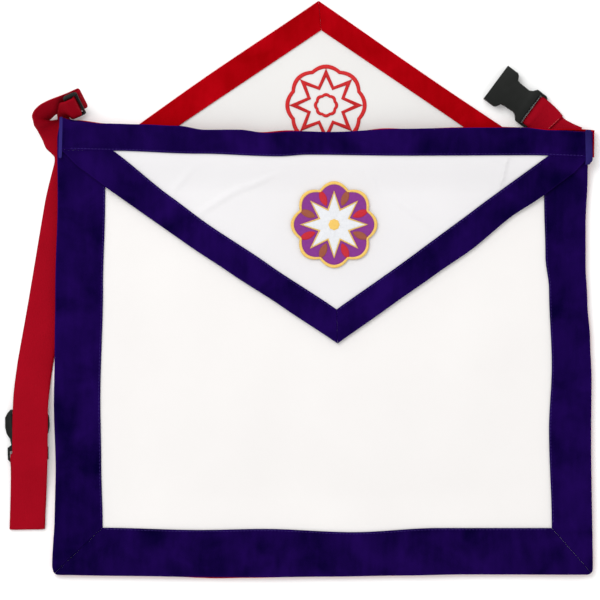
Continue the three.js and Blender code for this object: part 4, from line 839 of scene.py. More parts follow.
# Swells of the cloth: across, down, reach as shares, rise in millimetres.
SWELLS: Rows = ((0.27, 0.62, 0.19, 1.3), (0.52, 0.74, 0.17, 0.9), (0.76, 0.55, 0.18, 1.4), (0.4, 0.45, 0.14, 0.7))
RAISED_SWELLS: Rows = ((0.3, 0.64, 0.115, 0.8), (0.69, 0.6, 0.105, 0.8))
HARDWARE_SWELLS: Rows = ((0.022, 0.006, 1.95, 1.4), (0.889, -0.004, 2.0, 1.5))
# Low folds of the front flap's cloth: x, y, turn in degrees, half width, half length, rise.
FLAP_FOLDS: Rows = (
    (-78.0, 116.0, 32.0, 2.6, 34.0, 1.125), (-52.0, 128.0, 24.0, 2.2, 26.0, 0.75),
    (70.0, 106.0, -38.0, 3.0, 36.0, 0.825), (38.0, 128.0, -70.0, 2.4, 20.0, 0.6), (-108.0, 130.0, 48.0, 2.4, 22.0, 0.6),
)
# The flap's pressed crease: its ends, half width and rise.
CREASE_ENDS: Rows = ((140.5, 149.5), (134.0, 121.0))
CREASE_WIDTH, CREASE_RISE = 1.1, 1.0
# How many insets the cloth stops short of a slanting edge.
SLANT_INSET = 1.6


@dataclass(frozen=True)
class Plan:
    """Plan of the apron's body and the heights of its layers, in millimetres."""

    width: float = 408.0
    height: float = 341.0
    sag: float = 30.0
    cloth: float = 1.0
    velvet: float = 1.1
    gap: float = 0.35
    strap_width: float = 27.0
    strap_thickness: float = 1.2
    clearance: float = 0.95
    corner_round: float = 4.2
    mitre_gap: float = 0.05

    def across(self, x: Array) -> Array:
        """Share of the way from the left edge to the right edge."""
        return x / self.width + 0.5

    def down(self, y: Array) -> Array:
        """Share of the way from the top edge to the foot."""
        return 0.5 - y / self.height

    def left(self, y: Array) -> Array:
        """The left edge at a height up the apron."""
        return self.width * (-0.5 + read(LEFT_EDGE, self.down(y)))

    def right(self, y: Array) -> Array:
        """The right edge at a height up the apron."""
        return self.width * (0.5 + read(RIGHT_EDGE, self.down(y)))

    def left_line(self, y: Array) -> Array:
        """The left border's inner edge."""
        return self.width * (-0.5 + read(LEFT_LINE, self.down(y)))

    def right_line(self, y: Array) -> Array:
        """The right border's inner edge."""
        return self.width * (0.5 + read(RIGHT_LINE, self.down(y)))

    def top(self, x: Array) -> Array:
        """The waist edge."""
        return self.height / 2 + self.width * read(TOP_EDGE, self.across(x))

    def band(self, x: Array) -> Array:
        """The waist band's lower edge."""
        return self.height / 2 + self.width * read(BAND_LINE, self.across(x))

    def foot_line(self, x: Array) -> Array:
        """The foot border's inner edge."""
        return -self.height / 2 + self.width * read(FOOT_LINE, self.across(x))

    def foot(self, x: Array) -> Array:
        """The foot edge."""
        return -self.height / 2 + self.width * read(FOOT_EDGE, self.across(x))

    def point(self, column: Array, row: Array, inset: float = 0.0) -> Array:
        """A plan point of the body's grid.

        The column runs 0 to 1 over the left border, to 2 over the open cloth and to 3 over the right border; the
        row runs 0 to 1 down the band, to 2 down the open cloth and to 3 down the foot border. Both edges bend, so
        the two are found in turn until they agree.

        Args:
            column: place across.
            row: place down.
            inset: how far inside the edges columns 0 and 3 and rows 0 and 3 lie.

        Returns:
            Plan points, shape of the broadcast arguments by 2.
        """
        column, row = np.broadcast_arrays(np.asarray(column, float), np.asarray(row, float))
        y = np.interp(row, [0, 1, 2, 3], self.height * np.array([0.5, 0.44, -0.41, -0.5]))
        x = np.zeros_like(y)
        for _ in range(6):
            stops = [self.left(y) + inset, self.left_line(y), self.right_line(y), self.right(y) - inset]
            x = self.between(stops, column)
            stops = [self.top(x) - inset, self.band(x), self.foot_line(x), self.foot(x) + inset]
            y = self.between(stops, row)
        return np.stack([x, y], axis=-1)

    @staticmethod
    def between(stops: Sequence[Array], place: Array) -> Array:
        """Reads straight lines between four stops at a place from 0 to 3."""
        i = np.clip(np.floor(place), 0, 2)
        t = place - i
        low = np.where(i == 0, stops[0], np.where(i == 1, stops[1], stops[2]))
        high = np.where(i == 0, stops[1], np.where(i == 1, stops[2], stops[3]))
        return mix(low, high, t)

    def round_corner(self, points: Array) -> Array:
        """Rounds the two lower corners of an outline: near a corner the outline follows a quarter circle.

        Args:
            points: outline points, places by 2.

        Returns:
            The points, rounded.
        """
        r = self.corner_round
        out = points.copy()
        for column in (0.0, 3.0):
            corner = self.point(column, 3.0)
            inward = np.array([1.0 if column == 0.0 else -1.0, 1.0])
            local = (points - corner) * inward
            along = local.max(axis=-1)
            near = (along < r) & (along > -1.0)
            a = r * (0.2929 + 0.7071 * np.clip(along, 0.0, r) / r)
            b = r - np.sqrt(np.maximum(0.0, r * r - (r - a) ** 2))
            upright = local[..., 1] > local[..., 0]
            bent = np.where(upright[..., None], np.stack([b, a], -1), np.stack([a, b], -1))
            out = np.where(near[..., None], corner + bent * inward, out)
        return out

    def lift(self, x: Array, y: Array) -> Array:
        """How high the lowest layer lies over the turned-up flap, the strap and the belt's hardware.

        Args:
            x: places across.
            y: places up.

        Returns:
            Heights in millimetres.
        """
        lift = max(2 * (self.strap_thickness + self.gap), self.cloth + self.velvet + 3 * self.gap)
        waist = 1 - smooth(self.band(x) - y, self.sag)
        corner = (-self.width / 2, self.height / 2)
        inner = corner[0] + self.strap_width * read(STRAP_LINE, (corner[1] - y) / self.strap_width)
        end = corner[1] - 8.4 * self.strap_width
        strap = (1 - smooth(x - inner, self.sag)) * smooth(y - end, 1.6 * self.strap_width)
        z = lift * waist + (self.strap_thickness + self.gap) * strap * (1 - waist)
        for sx, sy, reach, rise in HARDWARE_SWELLS:
            r = np.hypot(x - corner[0] - sx * self.width, y - corner[1] - sy * self.width)
            z = z + rise * (1 - smooth(r, reach * self.strap_width))
        return z

    def between_sides(self, x: Array, y: Array) -> Array:
        """1 over the cloth between the side borders, easing to 0 over them."""
        return smooth(x - self.left_line(y), self.sag) * smooth(self.right_line(y) - x, self.sag)

    def open_field(self, x: Array, y: Array) -> Array:
        """1 over the open cloth, easing to 0 over every border."""
        foot = smooth(y - self.foot_line(x), self.sag)
        return self.between_sides(x, y) * foot * smooth(self.band(x) - y, self.sag)

    def swell(self, x: Array, y: Array) -> Array:
        """Soft swells of the open cloth.

        Args:
            x: places across.
            y: places up.

        Returns:
            Heights in millimetres.
        """
        z = np.zeros_like(x)
        for sx, sy, reach, rise in SWELLS:
            r = np.hypot(self.across(x) - sx, (self.down(y) - sy) * self.height / self.width)
            z = z + rise * (1 - smooth(r, reach))
        return z

    def ripple(self, x: Array, y: Array) -> Array:
        """Gentle unevenness shared by all the body's layers: products of slow sines, never below 0.

        Args:
            x: places across.
            y: places up.

        Returns:
            Heights in millimetres.
        """
        a = np.sin(x / 21.0 + 1.3 * np.sin(y / 37.0)) * np.sin(y / 25.0 + 0.8 * np.sin(x / 31.0))
        b = np.sin((x + 0.6 * y) / 11.0) * np.sin((y - 0.4 * x) / 14.0)
        return 0.2 * (1.0 + a) + 0.13 * (1.0 + b)

    def back_border(self, x: Array, y: Array) -> Array:
        """Lower face of the reverse side's borders."""
        return self.lift(x, y) + self.ripple(x, y)

    def back_panel(self, x: Array, y: Array) -> Array:
        """Lower face of the reverse side's cloth."""
        step = self.velvet + self.gap
        return self.back_border(x, y) + step * (1 - self.open_field(x, y)) + self.swell(x, y)

    def front_panel(self, x: Array, y: Array) -> Array:
        """Lower face of the front cloth."""
        return self.back_panel(x, y) + self.cloth + self.gap

    def front_border(self, x: Array, y: Array) -> Array:
        """Lower face of the front borders."""
        return self.front_panel(x, y) + self.cloth + self.gap

    def flap(self, x: Array, y: Array) -> Array:
        """Lower face of the front flap's cloth, which steps up over the side borders."""
        sides = 1 - self.between_sides(x, y)
        return self.front_panel(x, y) + self.cloth + self.clearance + (self.velvet + self.gap) * sides

    def flap_border(self, x: Array, y: Array) -> Array:
        """Lower face of the flap's borders, and of the waist band."""
        return self.flap(x, y) + self.cloth + self.gap


PLAN = Plan()


# Cloth shapes.
@dataclass(frozen=True)
class Hem:
    """A velvet strip with its outer edge folded over the cloth, as a profile carried along the strip."""

    thickness: float = 1.1
    lip: float = 1.1
    roll: float = 0.75
    inner_roll: float = 0.45
    across: int = 14

    def profile(self, depth: float) -> tuple[Array, Array, Array, Array]:
        """The profile's points: share across the strip, distance in millimetres, height, and 1 on the folded lip.

        It goes over the top from the outer edge to the inner one, round the inner edge, back underneath, and
        round the lip that hangs from the outer edge. Both edges are rounded with quarter circles.

        Args:
            depth: how far the lip reaches below the strip's lower face.

        Returns:
            Four arrays with one value for each point of the closed profile.
        """
        t, r, q = self.thickness, self.roll, self.inner_roll
        arc = np.radians([90, 70, 50, 30, 10])
        s = np.linspace(0, 1, self.across)
        share = [s, np.ones(5), 1 - s]
        distance = [r * (1 - s) - q * s, -q + q * np.cos(arc), -0.3 * (1 - s) + self.lip * s]
        height = [t + 0 * s, t - q + q * np.sin(arc), 0 * s]
        flag = [0 * s, np.zeros(5), 0 * s]
        low = np.array([0.25, 0.6, 1.0]) * depth
        tail = [
            (self.lip, -low[0]), (self.lip, -low[1]), (self.lip, -depth + 0.3), (self.lip - 0.3, -depth),
            (0.55, -depth), (0.22, -depth + 0.14), (0.05, -depth + 0.4), (0.0, -depth + 0.75),
            (0.0, 0.5 * (t - r - depth + 0.75)), (0.0, t - r),
            (r * (1 - math.cos(0.45)), t - r + r * math.sin(0.45)),
            (r * (1 - math.cos(0.95)), t - r + r * math.sin(0.95)),
            (r * (1 - math.cos(1.3)), t - r + r * math.sin(1.3)),
        ]
        share.append(np.zeros(len(tail)))
        distance.append(np.array([d for d, _ in tail]))
        height.append(np.array([z for _, z in tail]))
        flag.append(np.ones(len(tail)))
        return tuple(np.concatenate(part) for part in (share, distance, height, flag))

    def strip(self, outer: Array, inner: Array, z_of: Height, fold: float) -> Body:
        """Carries the profile along a strip.

        Args:
            outer: plan points of the folded outer edge.
            inner: plan points of the inner edge, in step with them.
            z_of: height of the strip's lower face over a plan point.
            fold: depth of the lip; positive folds down, negative up.

        Returns:
            The closed strip.
        """
        sign = 1.0 if fold > 0 else -1.0
        share, distance, height, lip = self.profile(abs(fold))
        reach = inner - outer
        length = np.linalg.norm(reach, axis=1, keepdims=True)
        reach = reach / np.maximum(length, 1e-6)
        along = unit(np.gradient(outer, axis=0))
        cross = np.abs(reach[:, 0] * along[:, 1] - reach[:, 1] * along[:, 0])
        skew = 1.0 / np.maximum(0.35, cross)[:, None]
        d = share[None, :] * length + distance[None, :] * skew
        plan = outer[:, None, :] + reach[:, None, :] * d[:, :, None]
        base = z_of(plan[:, :, 0], plan[:, :, 1])
        edge = z_of(outer[:, 0], outer[:, 1])[:, None]
        base = mix(base, edge, lip[None, :] * (height < 0)[None, :])
        low = base + (0.0 if sign > 0 else self.thickness)
        loops = np.concatenate([plan, (low + sign * height[None, :])[:, :, None]], axis=2)
        run = run_along(outer)
        # The UV's second part is the distance to the nearer edge, where the velvet paints its edge highlight.
        near = np.clip(np.minimum(d, length - d), 0.0, None)
        uv = np.stack(np.broadcast_arrays(run[:, None], near), axis=-1) * MILLIMETRE
        return carried_body(loops, uv)


def drawn_in(edge: Array, inner: Array, distance: float) -> Array:
    """An edge's points moved a distance towards the inner line that is in step with them."""
    return mix(edge, inner, distance / np.linalg.norm(inner - edge, axis=1, keepdims=True))


def three_fields(lines: Sequence[Array], narrow: int, wide: int) -> Array:
    """Rows of plan points over a left border, the open cloth and a right border.

    Args:
        lines: left outer, left inner, right inner and right outer points, in step.
        narrow: points over a border, both its edges counted.
        wide: points over the open cloth, both its edges counted.

    Returns:
        Plan points, rows by columns by 2.
    """
    lo, li, ri, ro = (line[:, None] for line in lines)
    side, open_cloth = np.linspace(0, 1, narrow)[None, :, None], np.linspace(0, 1, wide)[None, :, None]
    return np.concatenate([mix(lo, li, side[:, :-1]), mix(li, ri, open_cloth[:, :-1]), mix(ri, ro, side)], axis=1)


def sheet_over(plan: Array, z_of: Height, thickness: float) -> Body:
    """A closed sheet of cloth over a grid of plan points.

    Args:
        plan: plan points, rows by columns by 2.
        z_of: height of its lower face.
        thickness: how thick the cloth is.

    Returns:
        The closed sheet; its UV is its plan in metres.
    """
    z = z_of(plan[:, :, 0], plan[:, :, 1])
    low = np.concatenate([plan, z[:, :, None]], axis=2)
    high = low + np.array([0.0, 0.0, thickness])
    return sheet_body(low, high, plan * MILLIMETRE)


@dataclass(frozen=True)
class Stitch:
    """The stitches of a row: distance from one to the next, length, thread radius, depth of the ends in the cloth."""

    pitch: float
    length: float
    radius: float
    sink: float


SEAM = Stitch(2.6, 1.9, 0.13, 0.12)
TACK = Stitch(2.3, 1.8, 0.2, 0.1)


def stitches(path: Array, kind: Stitch) -> Body:
    """A row of stitches along a path: each is a short tube that rises from the cloth and goes back into it.

    Args:
        path: points along the row, places by 3.
        kind: its stitches' sizes.

    Returns:
        All stitches as one mesh.
    """
    run = run_along(path)
    start = np.arange(0.5 * kind.pitch, run[-1] - kind.length, kind.pitch)
    t = np.linspace(0.0, 1.0, 6)
    at = start[:, None] + kind.length * t[None, :]
    line = np.stack([np.interp(at, run, path[:, k]) for k in range(3)], axis=-1)
    line[:, :, 2] += (kind.radius + kind.sink) * np.sin(np.pi * t)[None, :] ** 0.6 - kind.sink
    along = unit(np.gradient(line, axis=1))
    side = unit(np.cross(along, np.array([0.0, 0.0, 1.0])))
    up = np.cross(side, along)
    angle = np.linspace(0.0, 2 * np.pi, 6, endpoint=False)
    spoke = (
        np.cos(angle)[None, None, :, None] * side[:, :, None, :]
        + np.sin(angle)[None, None, :, None] * up[:, :, None, :]
    )
    girth = kind.radius * np.array([0.55, 0.95, 1.0, 1.0, 0.95, 0.55])
    points = line[:, :, None, :] + spoke * girth[None, :, None, None]
    n, m, k = points.shape[:3]
    index = np.arange(n * m * k).reshape(n, m, k)
    here, there = index[:, :-1], index[:, 1:]
    quads = np.stack([here, np.roll(here, -1, axis=2), np.roll(there, -1, axis=2), there], axis=-1).reshape(-1, 4)
    ends = [index[i, j][:: (1 if j else -1)].copy() for i in range(n) for j in (0, m - 1)]
    uv = np.stack([np.repeat(at.ravel(), k), np.tile(angle, n * m) * kind.radius], axis=1) * MILLIMETRE
    return Body(points.reshape(-1, 3), quads, uv, ends).outward()


def on_surface(plan: Array, z_of: Height, above: float) -> Array:
    """Plan points lifted to a height above a surface."""
    z = z_of(plan[:, 0], plan[:, 1]) + above
    return np.concatenate([plan, z[:, None]], axis=1)


@dataclass
class ApronBody:
    """One side of the apron's body: its cloth and its three borders."""

    plan: Plan
    hem: Hem
    finishes: Finishes
    inset: float = 1.65

    def grid(self) -> Array:
        """Plan points of the cloth, close together where it bends.

        Returns:
            Rows by columns by 2.
        """
        c = np.concatenate([np.linspace(0, 1, 14)[:-1], np.linspace(1, 2, 112)[:-1], np.linspace(2, 3, 14)])
        r = np.concatenate([np.linspace(0, 1, 9)[:-1], np.linspace(1, 2, 100)[:-1], np.linspace(2, 3, 14)])
        return self.plan.point(c[None, :], r[:, None], self.inset)

    def side(self, side: Side, z_of: Height, fold: float, from_waist: bool) -> tuple[Body, Array]:
        """A side border and its inner edge.

        The strip runs down the side, and over its last stretch its outer edge runs on to the corner while its inner
        edge stops at the inner corner, which makes the mitre.

        Args:
            side: which side border.
            z_of: height of the strip's lower face.
            fold: depth of the lip; positive folds down, negative up.
            from_waist: whether it starts at the waist edge or at the band's lower edge.

        Returns:
            The closed strip, and the plan points of its inner edge.
        """
        low = 0.0 if from_waist else 1.0
        main = np.linspace(low, 1.88, 110)
        fan = np.linspace(0, 1, 22)[1:]
        rows_out = np.concatenate([main, 1.88 + (3.0 - 1.88) * fan])
        rows_in = np.concatenate([main, 1.88 + (2.0 - 1.88) * fan])
        column = (0.0, 1.0) if side is Side.LEFT else (3.0, 2.0)
        outer = self.plan.point(column[0], rows_out)
        inner = self.plan.point(column[1], rows_in)
        fall, reach = (self.inset, 0.02) if from_waist else (self.plan.gap, 0.004)
        fall = fall * (1 - smooth(rows_out - low, reach))
        outer[:, 1] -= fall
        inner[:, 1] -= fall
        outer = self.plan.round_corner(outer)
        ease = smooth(rows_out - 1.88, 3.0 - 1.88)
        shift = 2 * self.plan.mitre_gap * ease[:, None] * np.array([0.0, 1.0])
        return self.hem.strip(outer + shift, inner + shift, z_of, fold), inner

    def bottom(self, z_of: Height, fold: float, fringe: Rows) -> tuple[Body, Array]:
        """The foot border, mitred at both ends, and its inner edge.

        Args:
            z_of: height of the strip's lower face.
            fold: depth of the lip; positive folds down, negative up.
            fringe: how far the outer edge hangs below the foot, as a share of the width.

        Returns:
            The closed strip, and the plan points of its inner edge.
        """
        fan = np.linspace(0, 1, 22)
        c_out = np.concatenate([1.1 * fan, np.linspace(1.1, 1.9, 110)[1:-1], 1.9 + 1.1 * fan])
        c_in = np.concatenate([1 + 0.1 * fan, np.linspace(1.1, 1.9, 110)[1:-1], 1.9 + 0.1 * fan])
        outer = self.plan.round_corner(self.plan.point(c_out, 3.0))
        inner = self.plan.point(c_in, 2.0)
        outer[:, 1] -= self.plan.width * read(fringe, self.plan.across(outer[:, 0]))
        ease = (1 - smooth(c_out, 1.1)) - (1 - smooth(3.0 - c_out, 1.1))
        shift = 2 * self.plan.mitre_gap * ease[:, None] * np.array([1.0, 0.0])
        return self.hem.strip(outer + shift, inner + shift, z_of, fold), inner

    def seams(self, lines: Sequence[Array], z_of: Height, inward: float) -> Body:
        """Rows of small stitches just outside the borders' inner edges.

        Args:
            lines: inner edges in the plan.
            z_of: height of the borders' lower face.
            inward: how far a row lies from its edge.

        Returns:
            All rows as one mesh.
        """
        rows = []
        for line in lines:
            normal = unit(np.gradient(line, axis=0))[:, ::-1] * np.array([1.0, -1.0])
            turn = np.where(normal @ -line.mean(axis=0) > 0, -1.0, 1.0)[:, None]
            rows.append(stitches(on_surface(line + normal * turn * inward, z_of, self.hem.thickness), SEAM))
        return fused(rows)

    def build(self) -> list[bpy.types.Object]:
        """Builds both sides of the body.

        Returns:
            All its pieces.
        """
        p, f = self.plan, self.finishes
        step = p.cloth + p.gap
        made = []
        grid = self.grid()
        front = make_piece("front_cloth", sheet_over(grid, p.front_panel, p.cloth), f.panel, Slot.WHITE,
                           ["front_panel"])
        back = make_piece("back_cloth", sheet_over(grid, p.back_panel, p.cloth), f.panel, Slot.WHITE, ["back_panel"])
        CUTS["front_panel"].declare(front, ["back_cloth"])
        CUTS["back_panel"].declare(back, ["floor"])
        made += [front, back]
        inner_edges = []
        for side in Side:
            body, inner = self.side(side, p.front_border, step, True)
            inner_edges.append(inner[6:-2])
            name = f"front_border_{side.name.lower()}"
            made.append(velvet_piece(name, body, f.purple, Slot.PURPLE, "front_cloth"))
        body, inner = self.bottom(p.front_border, step, ((0.0, 0.0), (1.0, 0.0)))
        inner_edges.append(inner[1:-1])
        made.append(velvet_piece("front_border_bottom", body, f.purple, Slot.PURPLE, "front_cloth"))
        seam = self.seams(inner_edges, p.front_border, 1.3)
        made.append(make_piece("front_border_stitches", seam, f.sewing, Slot.PURPLE))
        for side in Side:
            body, _ = self.side(side, p.back_border, -step, False)
            name = f"back_border_{side.name.lower()}"
            made.append(velvet_piece(name, body, f.red, Slot.RED, "floor"))
        body, _ = self.bottom(p.back_border, -step, FOOT_FRINGE)
        made.append(velvet_piece("back_border_bottom", body, f.red, Slot.RED, "floor"))
        return made


def bowed(start: Array, end: Array, share: Array, push: Array) -> Array:
    """Points along a line that bows sideways: the line's point plus push times its right-hand normal.

    Args:
        start: first point in the plan.
        end: last point.
        share: places along the line.
        push: how far each place is moved.

    Returns:
        Plan points, places by 2.
    """
    d = end - start
    length = np.hypot(d[0], d[1])
    normal = np.array([d[1], -d[0]]) / length
    return start[None, :] + share[:, None] * d[None, :] + push[:, None] * normal[None, :]


@dataclass
class FrontFlap:
    """The front side's flap: white cloth with two slanting velvet borders that meet at its tip."""

    plan: Plan
    hem: Hem
    finishes: Finishes
    drop: float = 143.5
    border: float = 21.3
    tip_offset: float = 11.0
    inset: float = 1.65

    def lines(self) -> dict[str, Array]:
        """The flap's corners in the plan.

        Returns:
            Plan points by name.
        """
        p = self.plan
        y0 = float(p.band(np.array(0.0)))
        left = np.array([float(p.left(y0)) + 2.4, float(p.band(-p.width / 2))])
        right = np.array([float(p.right(y0)) + 1.2, float(p.band(p.width / 2))])
        tip = np.array([self.tip_offset, y0 - self.drop])
        slope = math.atan2(self.drop, p.width / 2)
        inner_tip = np.array([tip[0] - 0.8, tip[1] + self.border / math.cos(slope)])
        lx = left[0] + self.border / math.sin(slope) + 3.3
        rx = right[0] - self.border / math.sin(slope) + 5.5
        return {
            "left": left, "right": right, "tip": tip, "inner_tip": inner_tip,
            "left_inner": np.array([lx, float(p.band(lx))]), "right_inner": np.array([rx, float(p.band(rx))]),
        }

    def rows(self, share: Array) -> tuple[Array, Array, Array, Array]:
        """Left outer, left inner, right inner and right outer points at shares from the base to the tip."""
        f, w = self.lines(), self.plan.width
        return (
            bowed(f["left"], f["tip"], share, w * read(FLAP_OUTER_BOW, share, 1)),
            bowed(f["left_inner"], f["inner_tip"], share, w * read(FLAP_INNER_BOW, share, 1)),
            bowed(f["right_inner"], f["inner_tip"], share, -w * read(FLAP_INNER_BOW, share, 2)),
            bowed(f["right"], f["tip"], share, -w * read(FLAP_OUTER_BOW, share, 2)),
        )

    def crease(self, x: Array, y: Array) -> Array:
        """A faint pressed crease near the right end of the waist: a narrow ridge along a short slanting line.

        Args:
            x: places across.
            y: places up.

        Returns:
            Heights in millimetres.
        """
        a, b = np.array(CREASE_ENDS)
        d = b - a
        t = np.clip(((x - a[0]) * d[0] + (y - a[1]) * d[1]) / (d @ d), 0.0, 1.0)
        r = np.hypot(x - a[0] - t * d[0], y - a[1] - t * d[1])
        return CREASE_RISE * np.exp(-((r / CREASE_WIDTH) ** 2)) * smooth(1.0 - t, 0.35)

    def soft_fold(self, x: Array, y: Array) -> Array:
        """Low soft folds across the flap's white cloth: a bell profile across a line, fading along it.

        Args:
            x: places across.
            y: places up.

        Returns:
            Heights in millimetres.
        """
        z = np.zeros_like(x)
        for px, py, turn, width, reach, rise in FLAP_FOLDS:
            c, t = math.cos(math.radians(turn)), math.sin(math.radians(turn))
            off = (y - py) * c - (x - px) * t
            way = np.abs((x - px) * c + (y - py) * t)
            z = z + rise * np.exp(-((off / width) ** 2)) * (1 - smooth(way, reach))
        return z

    def panel(self) -> Body:
        """The flap's cloth: rows from the waist edge to the band's lower edge, then on to the tip.

        Returns:
            The closed sheet.
        """
        p = self.plan
        share = np.concatenate([np.linspace(0, 0.97, 112), [0.985, 1.0]])
        lo, li, ri, ro = self.rows(share)
        reach = SLANT_INSET * self.inset
        row = three_fields((drawn_in(lo, li, reach), li, ri, drawn_in(ro, ri, reach)), 12, 220)
        x = row[0, :, 0]
        row[0, :, 1] = p.band(x)
        above = [np.stack([x, mix(p.top(x) - self.inset, p.band(x), t)], axis=1) for t in np.linspace(0, 1, 9)[:-1]]
        plan = np.concatenate([np.array(above), row])

        def low(px: Array, py: Array) -> Array:
            inside = smooth(p.band(px) - py, 3.0)
            return p.flap(px, py) + (self.crease(px, py) + self.soft_fold(px, py)) * inside

        return sheet_over(plan, low, p.cloth)

    def strip(self, side: Side) -> tuple[Body, Array]:
        """A slanting border, mitred at the tip, and its inner edge.

        Args:
            side: which border.

        Returns:
            The closed strip, and the plan points of its inner edge.
        """
        p = self.plan
        share = np.concatenate([np.linspace(0, 0.96, 90), np.linspace(0.965, 1, 8)])
        lo, li, ri, ro = self.rows(share)
        outer, inner = (lo, li) if side is Side.LEFT else (ro, ri)
        fall = 0.05 * (1 - smooth(share, 0.02))
        shift = side.value * p.mitre_gap * smooth(share - 0.8, 0.2)
        move = np.stack([shift, -fall], axis=1)
        return self.hem.strip(outer + move, inner + move, p.flap_border, p.cloth + p.gap - 0.1), inner + move

    def build(self) -> list[bpy.types.Object]:
        """Builds the flap.

        Returns:
            Its pieces.
        """
        p, f = self.plan, self.finishes
        cloth = make_piece("front_flap_cloth", self.panel(), f.flap, Slot.WHITE, ["front_flap_panel"], weld=True)
        CUTS["front_flap_panel"].declare(cloth, ["front_cloth"])
        made, seams = [cloth], []
        for side in Side:
            body, inner = self.strip(side)
            name = f"front_flap_border_{side.name.lower()}"
            made.append(velvet_piece(name, body, f.purple, Slot.PURPLE, "front_flap_cloth"))
            line = inner[3:-2] + np.array([-side.value * 0.6, -1.15]) * np.array([-1.0, 1.0])
            seams.append(stitches(on_surface(line, p.flap_border, self.hem.thickness), SEAM))
        made.append(make_piece("front_flap_stitches", fused(seams), f.sewing, Slot.PURPLE))
        return made


@dataclass(frozen=True)
class FoldedEnd:
    """A folded end of the waist band, in millimetres: place of its top, foot, lean, width, lift and how it tapers."""

    x: float
    top: float
    foot: float
    lean: float
    width: float
    lift: float
    bulge: float = 0.0
    flare: float = 0.0
    tuck: float = 0.0
    narrowing: float = 0.0


FOLDED_ENDS: dict[Side, FoldedEnd] = {
    Side.LEFT: FoldedEnd(-198.9, 178.6, 147.4, -0.9, 2.6, 0.2, bulge=0.3),
    Side.RIGHT: FoldedEnd(201.3, 168.8, 142.4, 0.9, 4.9, 0.55, flare=0.5, tuck=1.4, narrowing=1.6),
}


@dataclass
class WaistBands:
    """The purple waist band, the red one behind it, and the purple band's folded ends."""

    plan: Plan
    hem: Hem
    finishes: Finishes
    left_end: float = 1.8
    right_end: float = 3.4
    red_end: float = 5.0
    roll: float = 0.75

    def front(self) -> tuple[Body, Array]:
        """The purple band and its lower edge.

        Returns:
            The closed strip, and the plan points of its lower edge.
        """
        p = self.plan
        y = p.height * 0.45
        left = float(p.left(y)) + self.left_end
        right = float(p.right(y)) + self.right_end
        x = np.linspace(left, right, 170)
        outer = np.stack([x, p.top(x)], axis=1)
        inner = np.stack([x, p.band(x)], axis=1)
        return self.hem.strip(outer, inner, p.flap_border, p.cloth + p.clearance), inner

    def back(self) -> Body:
        """The red band, which stands a little beyond the purple one along the waist and at its right end.

        Returns:
            The closed strip.
        """
        p = self.plan
        c = np.concatenate([np.linspace(0, 1, 20)[:-1], np.linspace(1, 2, 120)[:-1], np.linspace(2, 3, 20)])
        outer, inner = p.point(c, 0.0), p.point(c, 1.0)
        outer[:, 1] += p.width * read(RED_FRINGE, p.across(outer[:, 0]))
        end = self.red_end * smooth(c - 2.6, 0.4)
        outer[:, 0] += end
        inner[:, 0] += end
        return self.hem.strip(outer, inner, p.back_border, -(p.cloth + p.gap))

    def folded_end(self, side: Side) -> Body:
        """A folded end of the velvet: a flat roll round the band's end, from above its top edge to below its foot.

        Args:
            side: which end.

        Returns:
            The closed roll.
        """
        p, end = self.plan, FOLDED_ENDS[side]
        y = np.linspace(0, 1, 30)
        tucked = smooth(y - 0.86, 0.14)
        line = np.stack([end.x + end.lean * y - end.tuck * tucked, mix(end.top, end.foot, y)], axis=1)
        width = end.width + end.bulge * np.sin(np.pi * y) + end.flare * y - end.narrowing * tucked
        angle = np.linspace(0, 2 * np.pi, 20, endpoint=False)
        across = np.sign(np.cos(angle)) * np.abs(np.cos(angle)) ** 0.6
        rise = np.sign(np.sin(angle)) * np.abs(np.sin(angle)) ** 0.6
        taper = np.minimum(1.0, 0.8 + 3.0 * np.minimum(y, 1 - y))
        x = line[:, :1] + 0.5 * (width * taper)[:, None] * across[None, :]
        level = p.flap_border(line[:, 0], line[:, 1]) + self.hem.thickness + end.lift
        z = level[:, None] - self.roll + self.roll * rise[None, :]
        loops = np.stack(np.broadcast_arrays(x, line[:, 1:], z), axis=-1)
        uv = np.stack(np.broadcast_arrays(line[:, 1:], x), axis=-1) * MILLIMETRE
        return carried_body(loops, uv)

    def build(self) -> list[bpy.types.Object]:
        """Builds the bands.

        Returns:
            Their pieces.
        """
        p, f = self.plan, self.finishes
        body, inner = self.front()
        band = make_piece("waist_band_velvet", body, f.purple, Slot.PURPLE, ["front_top_band"])
        line = inner[3:-3] + np.array([0.0, 1.2])
        seam = stitches(on_surface(line, p.flap_border, self.hem.thickness), SEAM)
        sewn = [make_piece("waist_band_stitches", seam, f.sewing, Slot.PURPLE)]
        for side in Side:
            # The folded ends take the lighter velvet, a painted highlight.
            name = f"waist_band_{side.name.lower()}_fold"
            sewn.append(make_piece(name, self.folded_end(side), f.fold, Slot.PURPLE))
        CUTS["front_top_band"].declare(band, ["front_flap_cloth"], with_pieces=sewn)
        red = make_piece("red_waist_band_velvet", self.back(), f.red, Slot.RED, ["back_top_band"])
        CUTS["back_top_band"].declare(red, ["back_flap_cloth"])
        return [band, *sewn, red]


